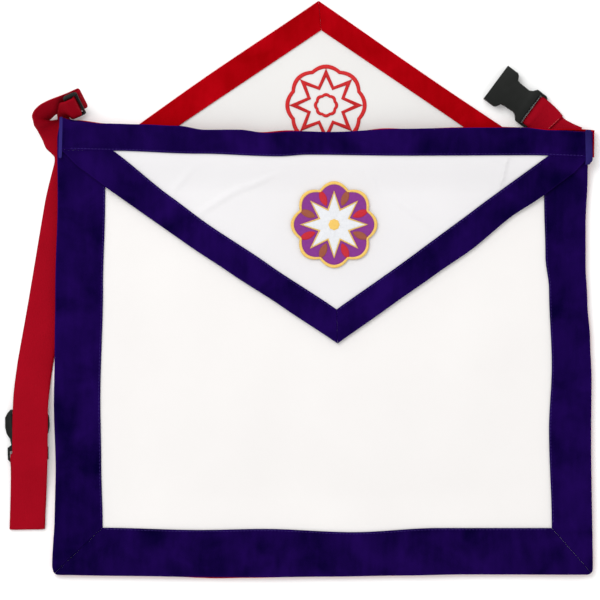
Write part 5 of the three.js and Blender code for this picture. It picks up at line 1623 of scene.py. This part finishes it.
@dataclass
class RaisedFlap:
    """The reverse side's flap, turned up beyond the waist."""

    plan: Plan
    hem: Hem
    finishes: Finishes
    rise: float = 117.5
    width: float = 342.0
    border: float = 17.0
    tip_offset: float = -3.5
    inset: float = 1.65

    def rows(self, share: Array) -> tuple[Array, Array, Array, Array]:
        """Left outer, left inner, right inner and right outer points at shares from the base to the tip."""
        p = self.plan
        y0, half = float(p.band(np.array(0.0))), self.width / 2
        slope = math.atan2(self.rise, half)
        left, right = np.array([-half - 2.4, y0]), np.array([half - 2.4, y0])
        tip = np.array([self.tip_offset, y0 + self.rise])
        inner_tip = tip + np.array([2.0, -self.border / math.cos(slope) - 1.8])
        side = np.array([self.border / math.sin(slope), 0.0])
        zero = 0.0 * share
        return (
            bowed(left, tip, share, -p.width * read(RAISED_BOW, share, 1)),
            bowed(left + side, inner_tip, share, zero),
            bowed(right - side, inner_tip, share, zero),
            bowed(right, tip, share, p.width * read(RAISED_BOW, share, 2)),
        )

    def low(self, x: Array, y: Array) -> Array:
        """Lower face of the flap's cloth: two soft swells and a slight unevenness.

        Args:
            x: places across.
            y: places up.

        Returns:
            Heights in millimetres.
        """
        p = self.plan
        across = x / self.width + 0.5
        down = 1 - (y - float(p.band(np.array(0.0)))) / self.rise
        z = 0.1 * (1 + np.sin(x / 17.0) * np.sin(y / 13.0))
        for sx, sy, reach, rise in RAISED_SWELLS:
            r = np.hypot(across - sx, (down - sy) * self.rise / self.width)
            z = z + rise * (1 - smooth(r, reach))
        return z * smooth(y - p.band(x) - 14.0, 26.0)

    def border_low(self, x: Array, y: Array) -> Array:
        """Lower face of its borders."""
        return self.low(x, y) + self.plan.cloth + self.plan.gap

    def panel(self) -> Body:
        """Its cloth, in rows from the base to the tip.

        Returns:
            The closed sheet.
        """
        share = np.concatenate([np.linspace(0, 0.97, 54), [0.985, 1.0]])
        lo, li, ri, ro = self.rows(share)
        reach = SLANT_INSET * self.inset
        plan = three_fields((drawn_in(lo, li, reach), li, ri, drawn_in(ro, ri, reach)), 8, 90)
        return sheet_over(plan, self.low, self.plan.cloth)

    def strip(self, side: Side) -> Body:
        """A slanting red border, mitred at the tip.

        Args:
            side: which border.

        Returns:
            The closed strip.
        """
        p = self.plan
        share = np.concatenate([np.linspace(0, 0.96, 80), np.linspace(0.965, 1, 8)])
        lo, li, ri, ro = self.rows(share)
        outer, inner = (lo, li) if side is Side.LEFT else (ro, ri)
        move = np.stack([side.value * p.mitre_gap * smooth(share - 0.8, 0.2), 0 * share], axis=1)
        return self.hem.strip(outer + move, inner + move, self.border_low, p.cloth + p.gap - 0.15)

    def build(self) -> list[bpy.types.Object]:
        """Builds the turned-up flap.

        Returns:
            Its pieces.
        """
        f = self.finishes
        cloth = make_piece("back_flap_cloth", self.panel(), f.raised, Slot.WHITE, ["back_flap_panel"], weld=True)
        CUTS["back_flap_panel"].declare(cloth, ["floor"])
        made = [cloth]
        for side in Side:
            name = f"back_flap_border_{side.name.lower()}"
            made.append(velvet_piece(name, self.strip(side), f.red, Slot.RED, "back_flap_cloth"))
        return made


# Embroidery.
def lobed_outline(radius: float, depth: float, count: int = 256, lobes: int = 8) -> Array:
    """Outline with round lobes: radius * (1 - depth + depth * |cos(lobes * angle / 2)|).

    Args:
        radius: radius at the tips of the lobes.
        depth: depth of the valleys as a share of it.
        count: how many points it has.
        lobes: how many lobes it has.

    Returns:
        Points round the middle, places by 2.
    """
    a = np.linspace(0, 2 * np.pi, count, endpoint=False)
    r = radius * (1 - depth + depth * np.abs(np.cos(lobes * a / 2)))
    return np.stack([r * np.cos(a), r * np.sin(a)], axis=1)


def star_outline(outer: float, inner: float, points: int, count: int = 256) -> Array:
    """Outline of a star: straight lines between tips and valleys, read at even angles.

    Args:
        outer: radius at the tips.
        inner: radius at the valleys.
        points: how many tips it has.
        count: how many points the outline has.

    Returns:
        Points round the middle, places by 2.
    """
    a = np.linspace(0, 2 * np.pi, count, endpoint=False)
    sector = math.pi / points
    phase = np.abs(np.mod(a + sector, 2 * sector) - sector)
    r = outer * inner * math.sin(sector) / (outer * np.sin(phase) + inner * np.sin(sector - phase))
    return np.stack([r * np.cos(a), r * np.sin(a)], axis=1)


@dataclass
class Emblems:
    """The two embroidered ornaments, of a generic design: a lobed ground with an eight-pointed star and leaves."""

    plan: Plan
    flap: RaisedFlap
    finishes: Finishes
    front_radius: float = 33.0
    front_drop: float = 53.0
    raised_radius: float = 31.0
    raised_up: float = 38.0

    def level(self, z_of: Height, centre: Array, radius: float) -> float:
        """The highest point of a surface under an ornament.

        Args:
            z_of: height of the surface.
            centre: the ornament's middle in the plan.
            radius: its radius.

        Returns:
            The height.
        """
        g = np.linspace(-1, 1, 21)
        x, y = np.meshgrid(g, g)
        inside = np.hypot(x, y) <= 1.0
        return float(z_of(centre[0] + radius * x[inside], centre[1] + radius * y[inside]).max())

    def front(self) -> list[bpy.types.Object]:
        """The front ornament: violet ground, gold cord, silver star, crimson and brown leaves, gold heart.

        Returns:
            Its pieces.
        """
        f, r = self.finishes, self.front_radius
        centre = np.array([0.0204 * self.plan.width, float(self.plan.band(np.array(0.0))) - self.front_drop])
        z = self.level(self.plan.flap, centre, r) + self.plan.cloth + 0.05
        ground = patch_body(0.95 * lobed_outline(r, 0.14), centre, z, 0.62, lambda s, k: 0.0 * s * k)
        made = [make_piece("front_emblem_ground", ground, f.violet, Slot.THREAD, ["front_emblem"])]
        outer, inner = lobed_outline(r, 0.14), lobed_outline(r - 2.5, 0.14)
        cord = ring_body(centre + outer, centre + inner, np.full(len(outer), z), 1.05)
        made.append(make_piece("front_emblem_cord", cord, f.gold, Slot.THREAD))
        ring_out, ring_in = star_outline(0.79 * r, 0.39 * r, 8), star_outline(0.72 * r, 0.34 * r, 8)
        edge = ring_body(centre + ring_out, centre + ring_in, np.full(len(ring_out), z + 0.5), 0.75)
        made.append(make_piece("front_emblem_star_edge", edge, f.gold, Slot.THREAD))
        star = star_outline(0.73 * r, 0.345 * r, 8)
        sector = 2 * np.pi / 8
        angle = np.linspace(0, 2 * np.pi, len(star), endpoint=False)
        ridge = 1 - np.abs(np.mod(angle + sector / 2, sector) - sector / 2) / (sector / 2)
        body = patch_body(star, centre, z + 0.45, 0.55, lambda s, k: 0.45 * ridge[k] * (1 - s) * (0.35 + s))
        reach = np.hypot(body.points[:, 0] - centre[0], body.points[:, 1] - centre[1])
        turn = np.arctan2(body.points[:, 1] - centre[1], body.points[:, 0] - centre[0])
        fold = np.mod(turn + sector / 2, sector) - sector / 2
        body.uv = np.stack([reach * np.cos(fold), reach * np.sin(fold)], axis=1) * MILLIMETRE
        made.append(make_piece("front_emblem_star", body, f.silver, Slot.THREAD))
        for first, (colour, finish) in enumerate((("crimson", f.crimson), ("brown", f.brown))):
            turns = [sector * (k + 0.5) for k in range(first, 8, 2)]
            leaves = fused([self.leaf(centre, each, 0.66 * r, 0.19 * r, 0.085 * r, z + 0.45) for each in turns])
            made.append(make_piece(f"front_emblem_{colour}_leaves", leaves, finish, Slot.THREAD))
        bead = lobed_outline(0.13 * r, 0.1, 48)
        heart = patch_body(bead, centre, z + 0.9, 0.6, lambda s, k: 0.25 * (1 - s**2) + 0 * k)
        made.append(make_piece("front_emblem_heart", heart, f.gold, Slot.THREAD))
        return made

    def leaf(self, centre: Array, turn: float, reach: float, length: float, width: float, z: float) -> Body:
        """A pointed leaf of satin stitch: an ellipse narrowed to both ends, raised along its middle.

        Args:
            centre: the ornament's middle in the plan.
            turn: direction from there.
            reach: distance from there to the leaf's middle.
            length: half its length.
            width: half its width.
            z: height of its underside.

        Returns:
            The closed leaf.
        """
        a = np.linspace(0, 2 * np.pi, 40, endpoint=False)
        along, across = length * np.cos(a), width * np.sin(a) * (1 - 0.35 * np.cos(a) ** 2)
        c, s = math.cos(turn), math.sin(turn)
        outline = np.stack([along * c - across * s, along * s + across * c], axis=1)
        middle = centre + reach * np.array([c, s])
        body = patch_body(outline, middle, z, 0.4, lambda q, k: 0.3 * (1 - q**2) + 0 * k, rings=6)
        local = body.points[:, :2] - middle
        body.uv = np.stack([local @ np.array([c, s]), local @ np.array([-s, c])], axis=1) * MILLIMETRE
        return body

    def raised(self) -> bpy.types.Object:
        """The raised flap's ornament in red line work: a lobed ring, an eight-pointed star and a small ring.

        Returns:
            Its one piece.
        """
        r, f = self.raised_radius, self.finishes
        centre = np.array([0.0054 * self.plan.width, float(self.plan.band(np.array(0.0))) + self.raised_up])
        z = self.level(self.flap.low, centre, r) + self.plan.cloth + 0.05
        line = 0.1 * r
        outlines = [
            (lobed_outline(r, 0.08), lobed_outline(r - line, 0.08)),
            (star_outline(0.91 * r, 0.5 * r, 8), star_outline(0.91 * r - 2.2 * line, 0.5 * r - line, 8)),
            (lobed_outline(0.3 * r, 0.1), lobed_outline(0.3 * r - 0.8 * line, 0.1)),
        ]
        rings = [ring_body(centre + outer, centre + inner, np.full(len(outer), z), 0.75) for outer, inner in outlines]
        return make_piece("back_emblem_lines", fused(rings), f.red_line, Slot.THREAD, ["back_emblem"])

    def build(self) -> list[bpy.types.Object]:
        """Builds both ornaments.

        Returns:
            Their pieces.
        """
        return [*self.front(), self.raised()]


# The belt.
# Straps' sections: x and y in strap widths from the apron's top left corner, z in millimetres, turn of the line
# across towards the strap's outer edge, rise of its outer half and of its inner half, share of its width.
ANCHOR_RUN: Rows = (
    (0.46, -0.62, 2.2, 180, 0, 0, 0.82), (0.364, -0.2, 1.8, 176, 1, 0, 0.65), (0.3, 0.099, 1.5, 168, 3, 0, 0.5),
    (0.253, 0.284, 1.7, 158, 12, 4, 0.44), (0.268, 0.346, 6.4, 142, 45, 39, 0.62),
    (0.284, 0.463, 14.8, 122, 57, 68, 0.85),
)
LOOP_RUN: Rows = (
    (0.39, 0.7, 15.4, 109, 63, 63, 1), (0.19, 0.675, 14.6, 107, 69, 69, 1), (-0.07, 0.56, 13.8, 116, 67, 67, 1),
    (-0.254, 0.44, 12.9, 130, 64, 64, 1), (-0.358, 0.341, 12.8, 149, 64, 64, 1), (-0.39, 0.26, 12.7, 167, 64, 64, 1),
    (-0.3, 0.175, 11.6, 187, 57, 54, 1), (-0.2, 0.146, 8.2, 197, 42, 32, 1), (-0.07, 0.099, 3.3, 204, 25, 10, 1),
    (0.07, -0.085, 1.3, 206, 6, 2, 1), (0.172, -0.324, 0.75, 208, 1, 0, 1), (0.344, -0.532, 0.62, 200, 0, 0, 1),
    (0.47, -0.775, 0.6, 185, 0, 0, 1), (0.46, -1.085, 0.6, 170, 0, 0, 1), (0.208, -2.13, 0.6, 168, 0, 0, 1),
    (-0.262, -4.93, 0.6, 170, 0, 0, 1), (-0.56, -6.6, 0.62, 170.5, 0, 0, 1), (-0.615, -7.0, 1.6, 171, 0, 0, 1),
    (-0.655, -7.35, 4.2, 172, 0, 0, 1), (-0.682, -7.7, 6.7, 173.5, 0, 0, 1), (-0.695, -8.2, 7.5, 176, 0, 0, 1),
    (-0.703, -9.0, 7.6, 178, 0, 0, 1), (-0.712, -9.5, 7.4, 179, 0, 0, 1), (-0.727, -9.9, 5.4, 180, 0, 0, 1),
    (-0.75, -10.4, 3.3, 181, 0, 0, 1), (-0.778, -10.95, 2.5, 181, 0, 0, 1),
)
# The strap's way through the slide: across the bars, and above or below them.
THREADING: Rows = (
    (-1.25, 1.0), (-0.6, 1.0), (0.02, 1.0), (0.3, 0.86), (0.46, 0.4), (0.54, -0.4), (0.7, -0.88), (1.0, -1.0),
    (1.5, -1.02), (1.72, -1.16), (1.83, -1.46), (1.72, -1.76), (1.5, -1.88), (0.9, -1.88), (0.2, -1.86),
)
# The doubled end: back from the buckle's foot, height, shift across.
RETURN_RUN: Rows = (
    (38, 0.6, -0.6), (20, 0.6, -0.2), (6, 0.6, 0), (0.6, 0.62, 0), (-2.2, 0.62, 0), (-4.6, 0.9, 0), (-5.8, 2.1, 0),
    (-5.9, 4.4, 0), (-4.6, 5.5, 0), (-2.2, 5.78, 0), (0.6, 5.6, 0), (3.6, 4.0, 0), (7.0, 2.5, 0), (12, 2.15, 0),
)
# The right strap: distance from the buckle's mouth, shift across, height, swing of its line across, share of width.
RIGHT_RUN: Rows = (
    (54.2, -3.2, 2.6, -10, 1), (51.0, -2.4, 2.62, -10, 1), (46.5, -1.2, 2.9, -8, 0.975), (42.6, -0.3, 3.75, -4, 0.94),
    (39.4, 0, 4.88, 0, 0.926), (37.6, 0, 4.9, 0, 0.926), (36.0, 0, 4.6, 0, 0.926), (35.1, 0, 3.9, 0, 0.926),
    (34.85, 0, 2.9, 0, 0.926), (35.1, 0, 1.95, 0, 0.926), (36.2, 0, 1.05, 0, 0.926), (38.2, 0, 0.9, 0, 0.926),
    (42.0, -0.3, 0.8, -5, 0.95), (46.5, -1.4, 0.75, -9, 1), (52.0, -3.2, 0.8, -10, 1), (58.0, -4.4, 1.2, -2, 1),
    (64.0, -4.1, 1.6, 6, 1), (70.0, -3.0, 1.8, 10, 1), (76.0, -1.6, 1.9, 10, 1),
)


@dataclass
class Belt:
    """The two straps of webbing and their plastic pieces."""

    plan: Plan
    finishes: Finishes
    slide_heading: float = -66.0
    slide_tilt: float = 61.0
    slide_place: tuple[float, float, float] = (0.574, 0.615, 18.4)
    slide_pitch: float = 4.5
    slide_clear: float = 2.2
    fold_place: tuple[float, float] = (-0.79, -11.27)
    male_place: tuple[float, float] = (-0.757, -9.41)
    mouth_place: tuple[float, float] = (0.3216, 0.0852)
    buckle_heading: float = 143.5
    across: int = 15
    steps: int = 6
    tack_section: float = 0.3
    tack_share: float = 0.86

    def corner(self) -> Array:
        """The apron's top left corner."""
        return np.array([-self.plan.width / 2, self.plan.height / 2, 0.0])

    def keys(self, rows: Rows) -> Array:
        """Sections (middle, outer half line, inner half line, share) of rows that are placed from the corner.

        Args:
            rows: a table of sections.

        Returns:
            10 values for each section.
        """
        t = np.array(rows, float)
        middle = self.corner() + np.concatenate([t[:, :2] * self.plan.strap_width, t[:, 2:3]], axis=1)
        return np.concatenate([middle, heading(t[:, 3], t[:, 4]), heading(t[:, 3], t[:, 5]), t[:, 6:7]], axis=1)

    def flat_keys(self, middle: Array, line: Array) -> Array:
        """Sections of a strap that isn't bent across its width.

        Args:
            middle: middles of the sections.
            line: the line across, one for all or one for each.

        Returns:
            10 values for each section.
        """
        line = np.broadcast_to(line, middle.shape)
        return np.concatenate([middle, line, line, np.ones((len(middle), 1))], axis=1)

    def left_keys(self) -> Array:
        """All sections of the left strap, from its sewn end to its doubled end.

        Returns:
            10 values for each section.
        """
        w = self.plan.strap_width
        flat, deep = heading(self.slide_heading, 0.0), heading(self.slide_heading + 90.0, 0.0)
        tilt, rise = math.radians(self.slide_tilt), np.array([0.0, 0.0, 1.0])
        long = flat * math.cos(tilt) - rise * math.sin(tilt)
        up = rise * math.cos(tilt) + flat * math.sin(tilt)
        place = self.corner() + np.array([self.slide_place[0] * w, self.slide_place[1] * w, self.slide_place[2]])
        t = np.array(THREADING)
        through = place + t[:, :1] * self.slide_pitch * deep + t[:, 1:2] * self.slide_clear * up
        fold = self.corner() + np.array([self.fold_place[0] * w, self.fold_place[1] * w, 0.0])
        s = np.radians([90, 60, 30, 0, -30, -60, -90])
        bend = fold + np.stack([0 * s, -0.95 * np.cos(s), 0.6 + 0.95 * (1 + np.sin(s))], axis=1)
        r = np.array(RETURN_RUN)
        foot = self.corner() + np.array([self.male_place[0] * w, self.male_place[1] * w, 0.0])
        doubled = foot + np.stack([r[:, 2], -r[:, 0], r[:, 1]], axis=1)
        return np.concatenate([
            self.keys(ANCHOR_RUN), self.flat_keys(through, -long), self.keys(LOOP_RUN),
            self.flat_keys(bend, heading(181.0, 0.0)), self.flat_keys(doubled, heading(181.5, 0.0)),
        ])

    def right_keys(self) -> Array:
        """All sections of the right strap, from its short sewn end on top to its end under the waist.

        Returns:
            10 values for each section.
        """
        p = self.plan
        back = -heading(self.buckle_heading, 0.0)
        sideways = np.cross(np.array([0.0, 0.0, 1.0]), back)
        mouth = np.array([self.mouth_place[0] * p.width, p.height / 2 + self.mouth_place[1] * p.width, 0.0])
        t = np.array(RIGHT_RUN)
        middle = mouth + t[:, :1] * back + t[:, 1:2] * sideways
        middle[:, 2] = t[:, 2]
        a = np.radians(t[:, 3:4])
        line = sideways * np.cos(a) + np.cross(np.array([0.0, 0.0, 1.0]), sideways) * np.sin(a)
        return np.concatenate([middle, line, line, t[:, 4:5]], axis=1)

    def ribbon(self, keys: Array, steps: int) -> Body:
        """Carries the strap's section along its keys.

        A point across the strap lies at middle + reach * w * line(w), where line turns evenly from the inner half
        line to the outer one; the two faces stand half a thickness off along the surface's normal, and the
        selvedges are rounded.

        Args:
            keys: sections, 10 values a row.
            steps: steps between two sections.

        Returns:
            The closed strap; its UV runs along and across it.
        """
        rows = flowing(keys, steps)
        middle, outer, inner, share = rows[:, :3], unit(rows[:, 3:6]), unit(rows[:, 6:9]), rows[:, 9]
        w = np.linspace(-1, 1, self.across)
        turn = smooth(w + 1.0, 2.0)[None, :, None]
        line = unit(mix(inner[:, None, :], outer[:, None, :], turn))
        reach = self.plan.strap_width / 2 * share[:, None, None]
        surface = middle[:, None, :] + reach * w[None, :, None] * line
        along = unit(np.gradient(middle, axis=0))
        normal = unit(np.cross(along[:, None, :], line))
        edge = np.sqrt(np.maximum(0.0, 1.0 - np.abs(w) ** 14))[None, :, None]
        half = self.plan.strap_thickness / 2 * (0.35 + 0.65 * edge)
        over, under = surface + normal * half, surface - normal * half
        loops = np.concatenate([over, under[:, ::-1]], axis=1)
        run = run_along(middle)
        side = np.concatenate([w, w[::-1]]) * self.plan.strap_width / 2
        uv = np.stack(np.broadcast_arrays(run[:, None], side[None, :]), axis=-1) * MILLIMETRE
        return carried_body(loops, uv)

    def plastic(self, node: str, bevel: float) -> bpy.types.Object:
        """A plastic piece: the frame's own shape, merged, its edges softened by a small bevel.

        Args:
            node: the frame's node.
            bevel: width of the bevel in metres.

        Returns:
            The object.
        """
        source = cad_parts[node]
        mesh = source.data.copy()
        mesh.name = f"{node}_moulding"
        work = bmesh.new()
        work.from_mesh(mesh)
        bmesh.ops.remove_doubles(work, verts=work.verts, dist=1e-6)
        bmesh.ops.dissolve_limit(work, angle_limit=math.radians(2.0), verts=work.verts, edges=work.edges)
        work.to_mesh(mesh)
        work.free()
        mesh.polygons.foreach_set("use_smooth", np.ones(len(mesh.polygons), bool))
        piece = bpy.data.objects.new(f"{node}_moulding", mesh)
        bpy.context.scene.collection.objects.link(piece)
        mesh.materials.clear()
        mesh.materials.append(self.finishes.plastic.material())
        soften = piece.modifiers.new("soft_edges", "BEVEL")
        soften.width = bevel
        soften.segments = 2
        soften.limit_method = "ANGLE"
        soften.angle_limit = math.radians(28.0)
        soften.harden_normals = True
        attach(piece, "root")
        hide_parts(node)
        return piece

    def sewn_line(self) -> Body:
        """A row of stitches across the right strap, where its short end is sewn down.

        Returns:
            The row as one mesh.
        """
        keys = self.right_keys()
        rows = flowing(keys, self.steps)
        section = np.linspace(0, len(keys) - 1, len(rows))
        i = int(np.argmin(np.abs(section - self.tack_section)))
        w = np.linspace(-self.tack_share, self.tack_share, 24)[:, None]
        path = rows[i, :3] + w * rows[i, 3:6] * self.plan.strap_width / 2 * rows[i, 9]
        path[:, 2] += self.plan.strap_thickness / 2
        return stitches(path, TACK)

    def build(self) -> list[bpy.types.Object]:
        """Builds the straps and their plastic pieces.

        Returns:
            The belt's pieces.
        """
        f = self.finishes
        made = []
        for name, keys in (("belt_left", self.left_keys()), ("belt_right", self.right_keys())):
            piece = make_piece(f"{name}_webbing", self.ribbon(keys, self.steps), f.webbing, Slot.WEBBING, [name])
            CUTS[name].declare(piece, ["floor"], Held.FOLDED)
            made.append(piece)
        made.append(make_piece("belt_right_stitches", self.sewn_line(), f.sewing_red, Slot.WEBBING))
        for node, bevel in (("slide_adjuster", 0.0003), ("male_buckle", 0.0004), ("female_buckle", 0.00035)):
            made.append(self.plastic(node, bevel))
        return made


# The studio.
@dataclass
class Studio:
    """A plain white floor, soft light from all round with a large light above, and the camera straight above."""

    centre: tuple[float, float] = (0.0002, -0.00806)
    seen: float = 0.45646
    distance: float = 3.4
    world_strength: float = 0.95
    key_power: float = 19.0
    key_size: float = 1.2
    key_place: tuple[float, float, float] = (-0.7, 0.9, 1.7)
    key_turn: tuple[float, float] = (-28.0, -22.0)
    floor_reach: float = 6.0
    floor_drop: float = 0.0002
    sensor: float = 36.0
    focus_height: float = 0.006

    def floor(self) -> None:
        """A large pale floor just under the apron."""
        mesh = bpy.data.meshes.new("floor")
        s, z = self.floor_reach, -self.floor_drop
        mesh.from_pydata([(-s, -s, z), (s, -s, z), (s, s, z), (-s, s, z)], [], [(0, 1, 2, 3)])
        floor = bpy.data.objects.new("floor", mesh)
        bpy.context.scene.collection.objects.link(floor)
        material = bpy.data.materials.new("floor_white")
        material.use_nodes = True
        shader = material.node_tree.nodes["Principled BSDF"]
        shader.inputs["Base Color"].default_value = (0.97, 0.97, 0.965, 1.0)
        shader.inputs["Roughness"].default_value = 0.9
        shader.inputs["Specular IOR Level"].default_value = 0.1
        mesh.materials.append(material)
        floor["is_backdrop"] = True

    def lights(self) -> None:
        """The world's even light and one large area light from above the top left."""
        world = bpy.data.worlds.new("studio")
        world.use_nodes = True
        background = world.node_tree.nodes["Background"]
        background.inputs[0].default_value = (1.0, 1.0, 1.0, 1.0)
        background.inputs[1].default_value = self.world_strength
        bpy.context.scene.world = world
        data = bpy.data.lights.new("key", "AREA")
        data.energy = self.key_power
        data.size = self.key_size
        light = bpy.data.objects.new("key", data)
        light.location = self.key_place
        light.rotation_euler = (*(math.radians(turn) for turn in self.key_turn), 0.0)
        bpy.context.scene.collection.objects.link(light)

    def camera(self) -> None:
        """The camera looks straight down, with the top of the photograph towards +Y."""
        data = bpy.data.cameras.new("camera")
        data.sensor_width = self.sensor
        data.lens = self.sensor * self.distance / self.seen
        camera = bpy.data.objects.new("camera", data)
        camera.location = (self.centre[0], self.centre[1], self.distance + self.focus_height)
        data.clip_end = 50.0
        bpy.context.scene.collection.objects.link(camera)
        bpy.context.scene.camera = camera

    def build(self) -> None:
        """Sets up floor, lights and camera, and plain colour handling."""
        self.floor()
        self.lights()
        self.camera()
        bpy.context.scene.view_settings.view_transform = "Standard"


def corners() -> list[list[float]]:
    """Lowest and highest corner of what is shown, as plain lists."""
    return [[float(v) for v in corner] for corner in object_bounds()]


def main() -> None:
    """Builds every sub-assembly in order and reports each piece."""
    logging.basicConfig(level=logging.INFO, format="%(name)s: %(message)s")
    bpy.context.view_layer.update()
    finishes, hem = Finishes(), Hem()
    raised = RaisedFlap(PLAN, Hem(across=9), finishes)
    parts = [
        ApronBody(PLAN, hem, finishes),
        raised,
        FrontFlap(PLAN, hem, finishes),
        WaistBands(PLAN, Hem(across=10), finishes),
        Emblems(PLAN, raised, finishes),
        Belt(PLAN, finishes),
    ]
    for part in parts:
        for piece in part.build():
            LOG.info("%s: %d faces", piece.name, len(piece.data.polygons))
    Studio().build()
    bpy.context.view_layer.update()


if __name__ == "__main__":
    main()
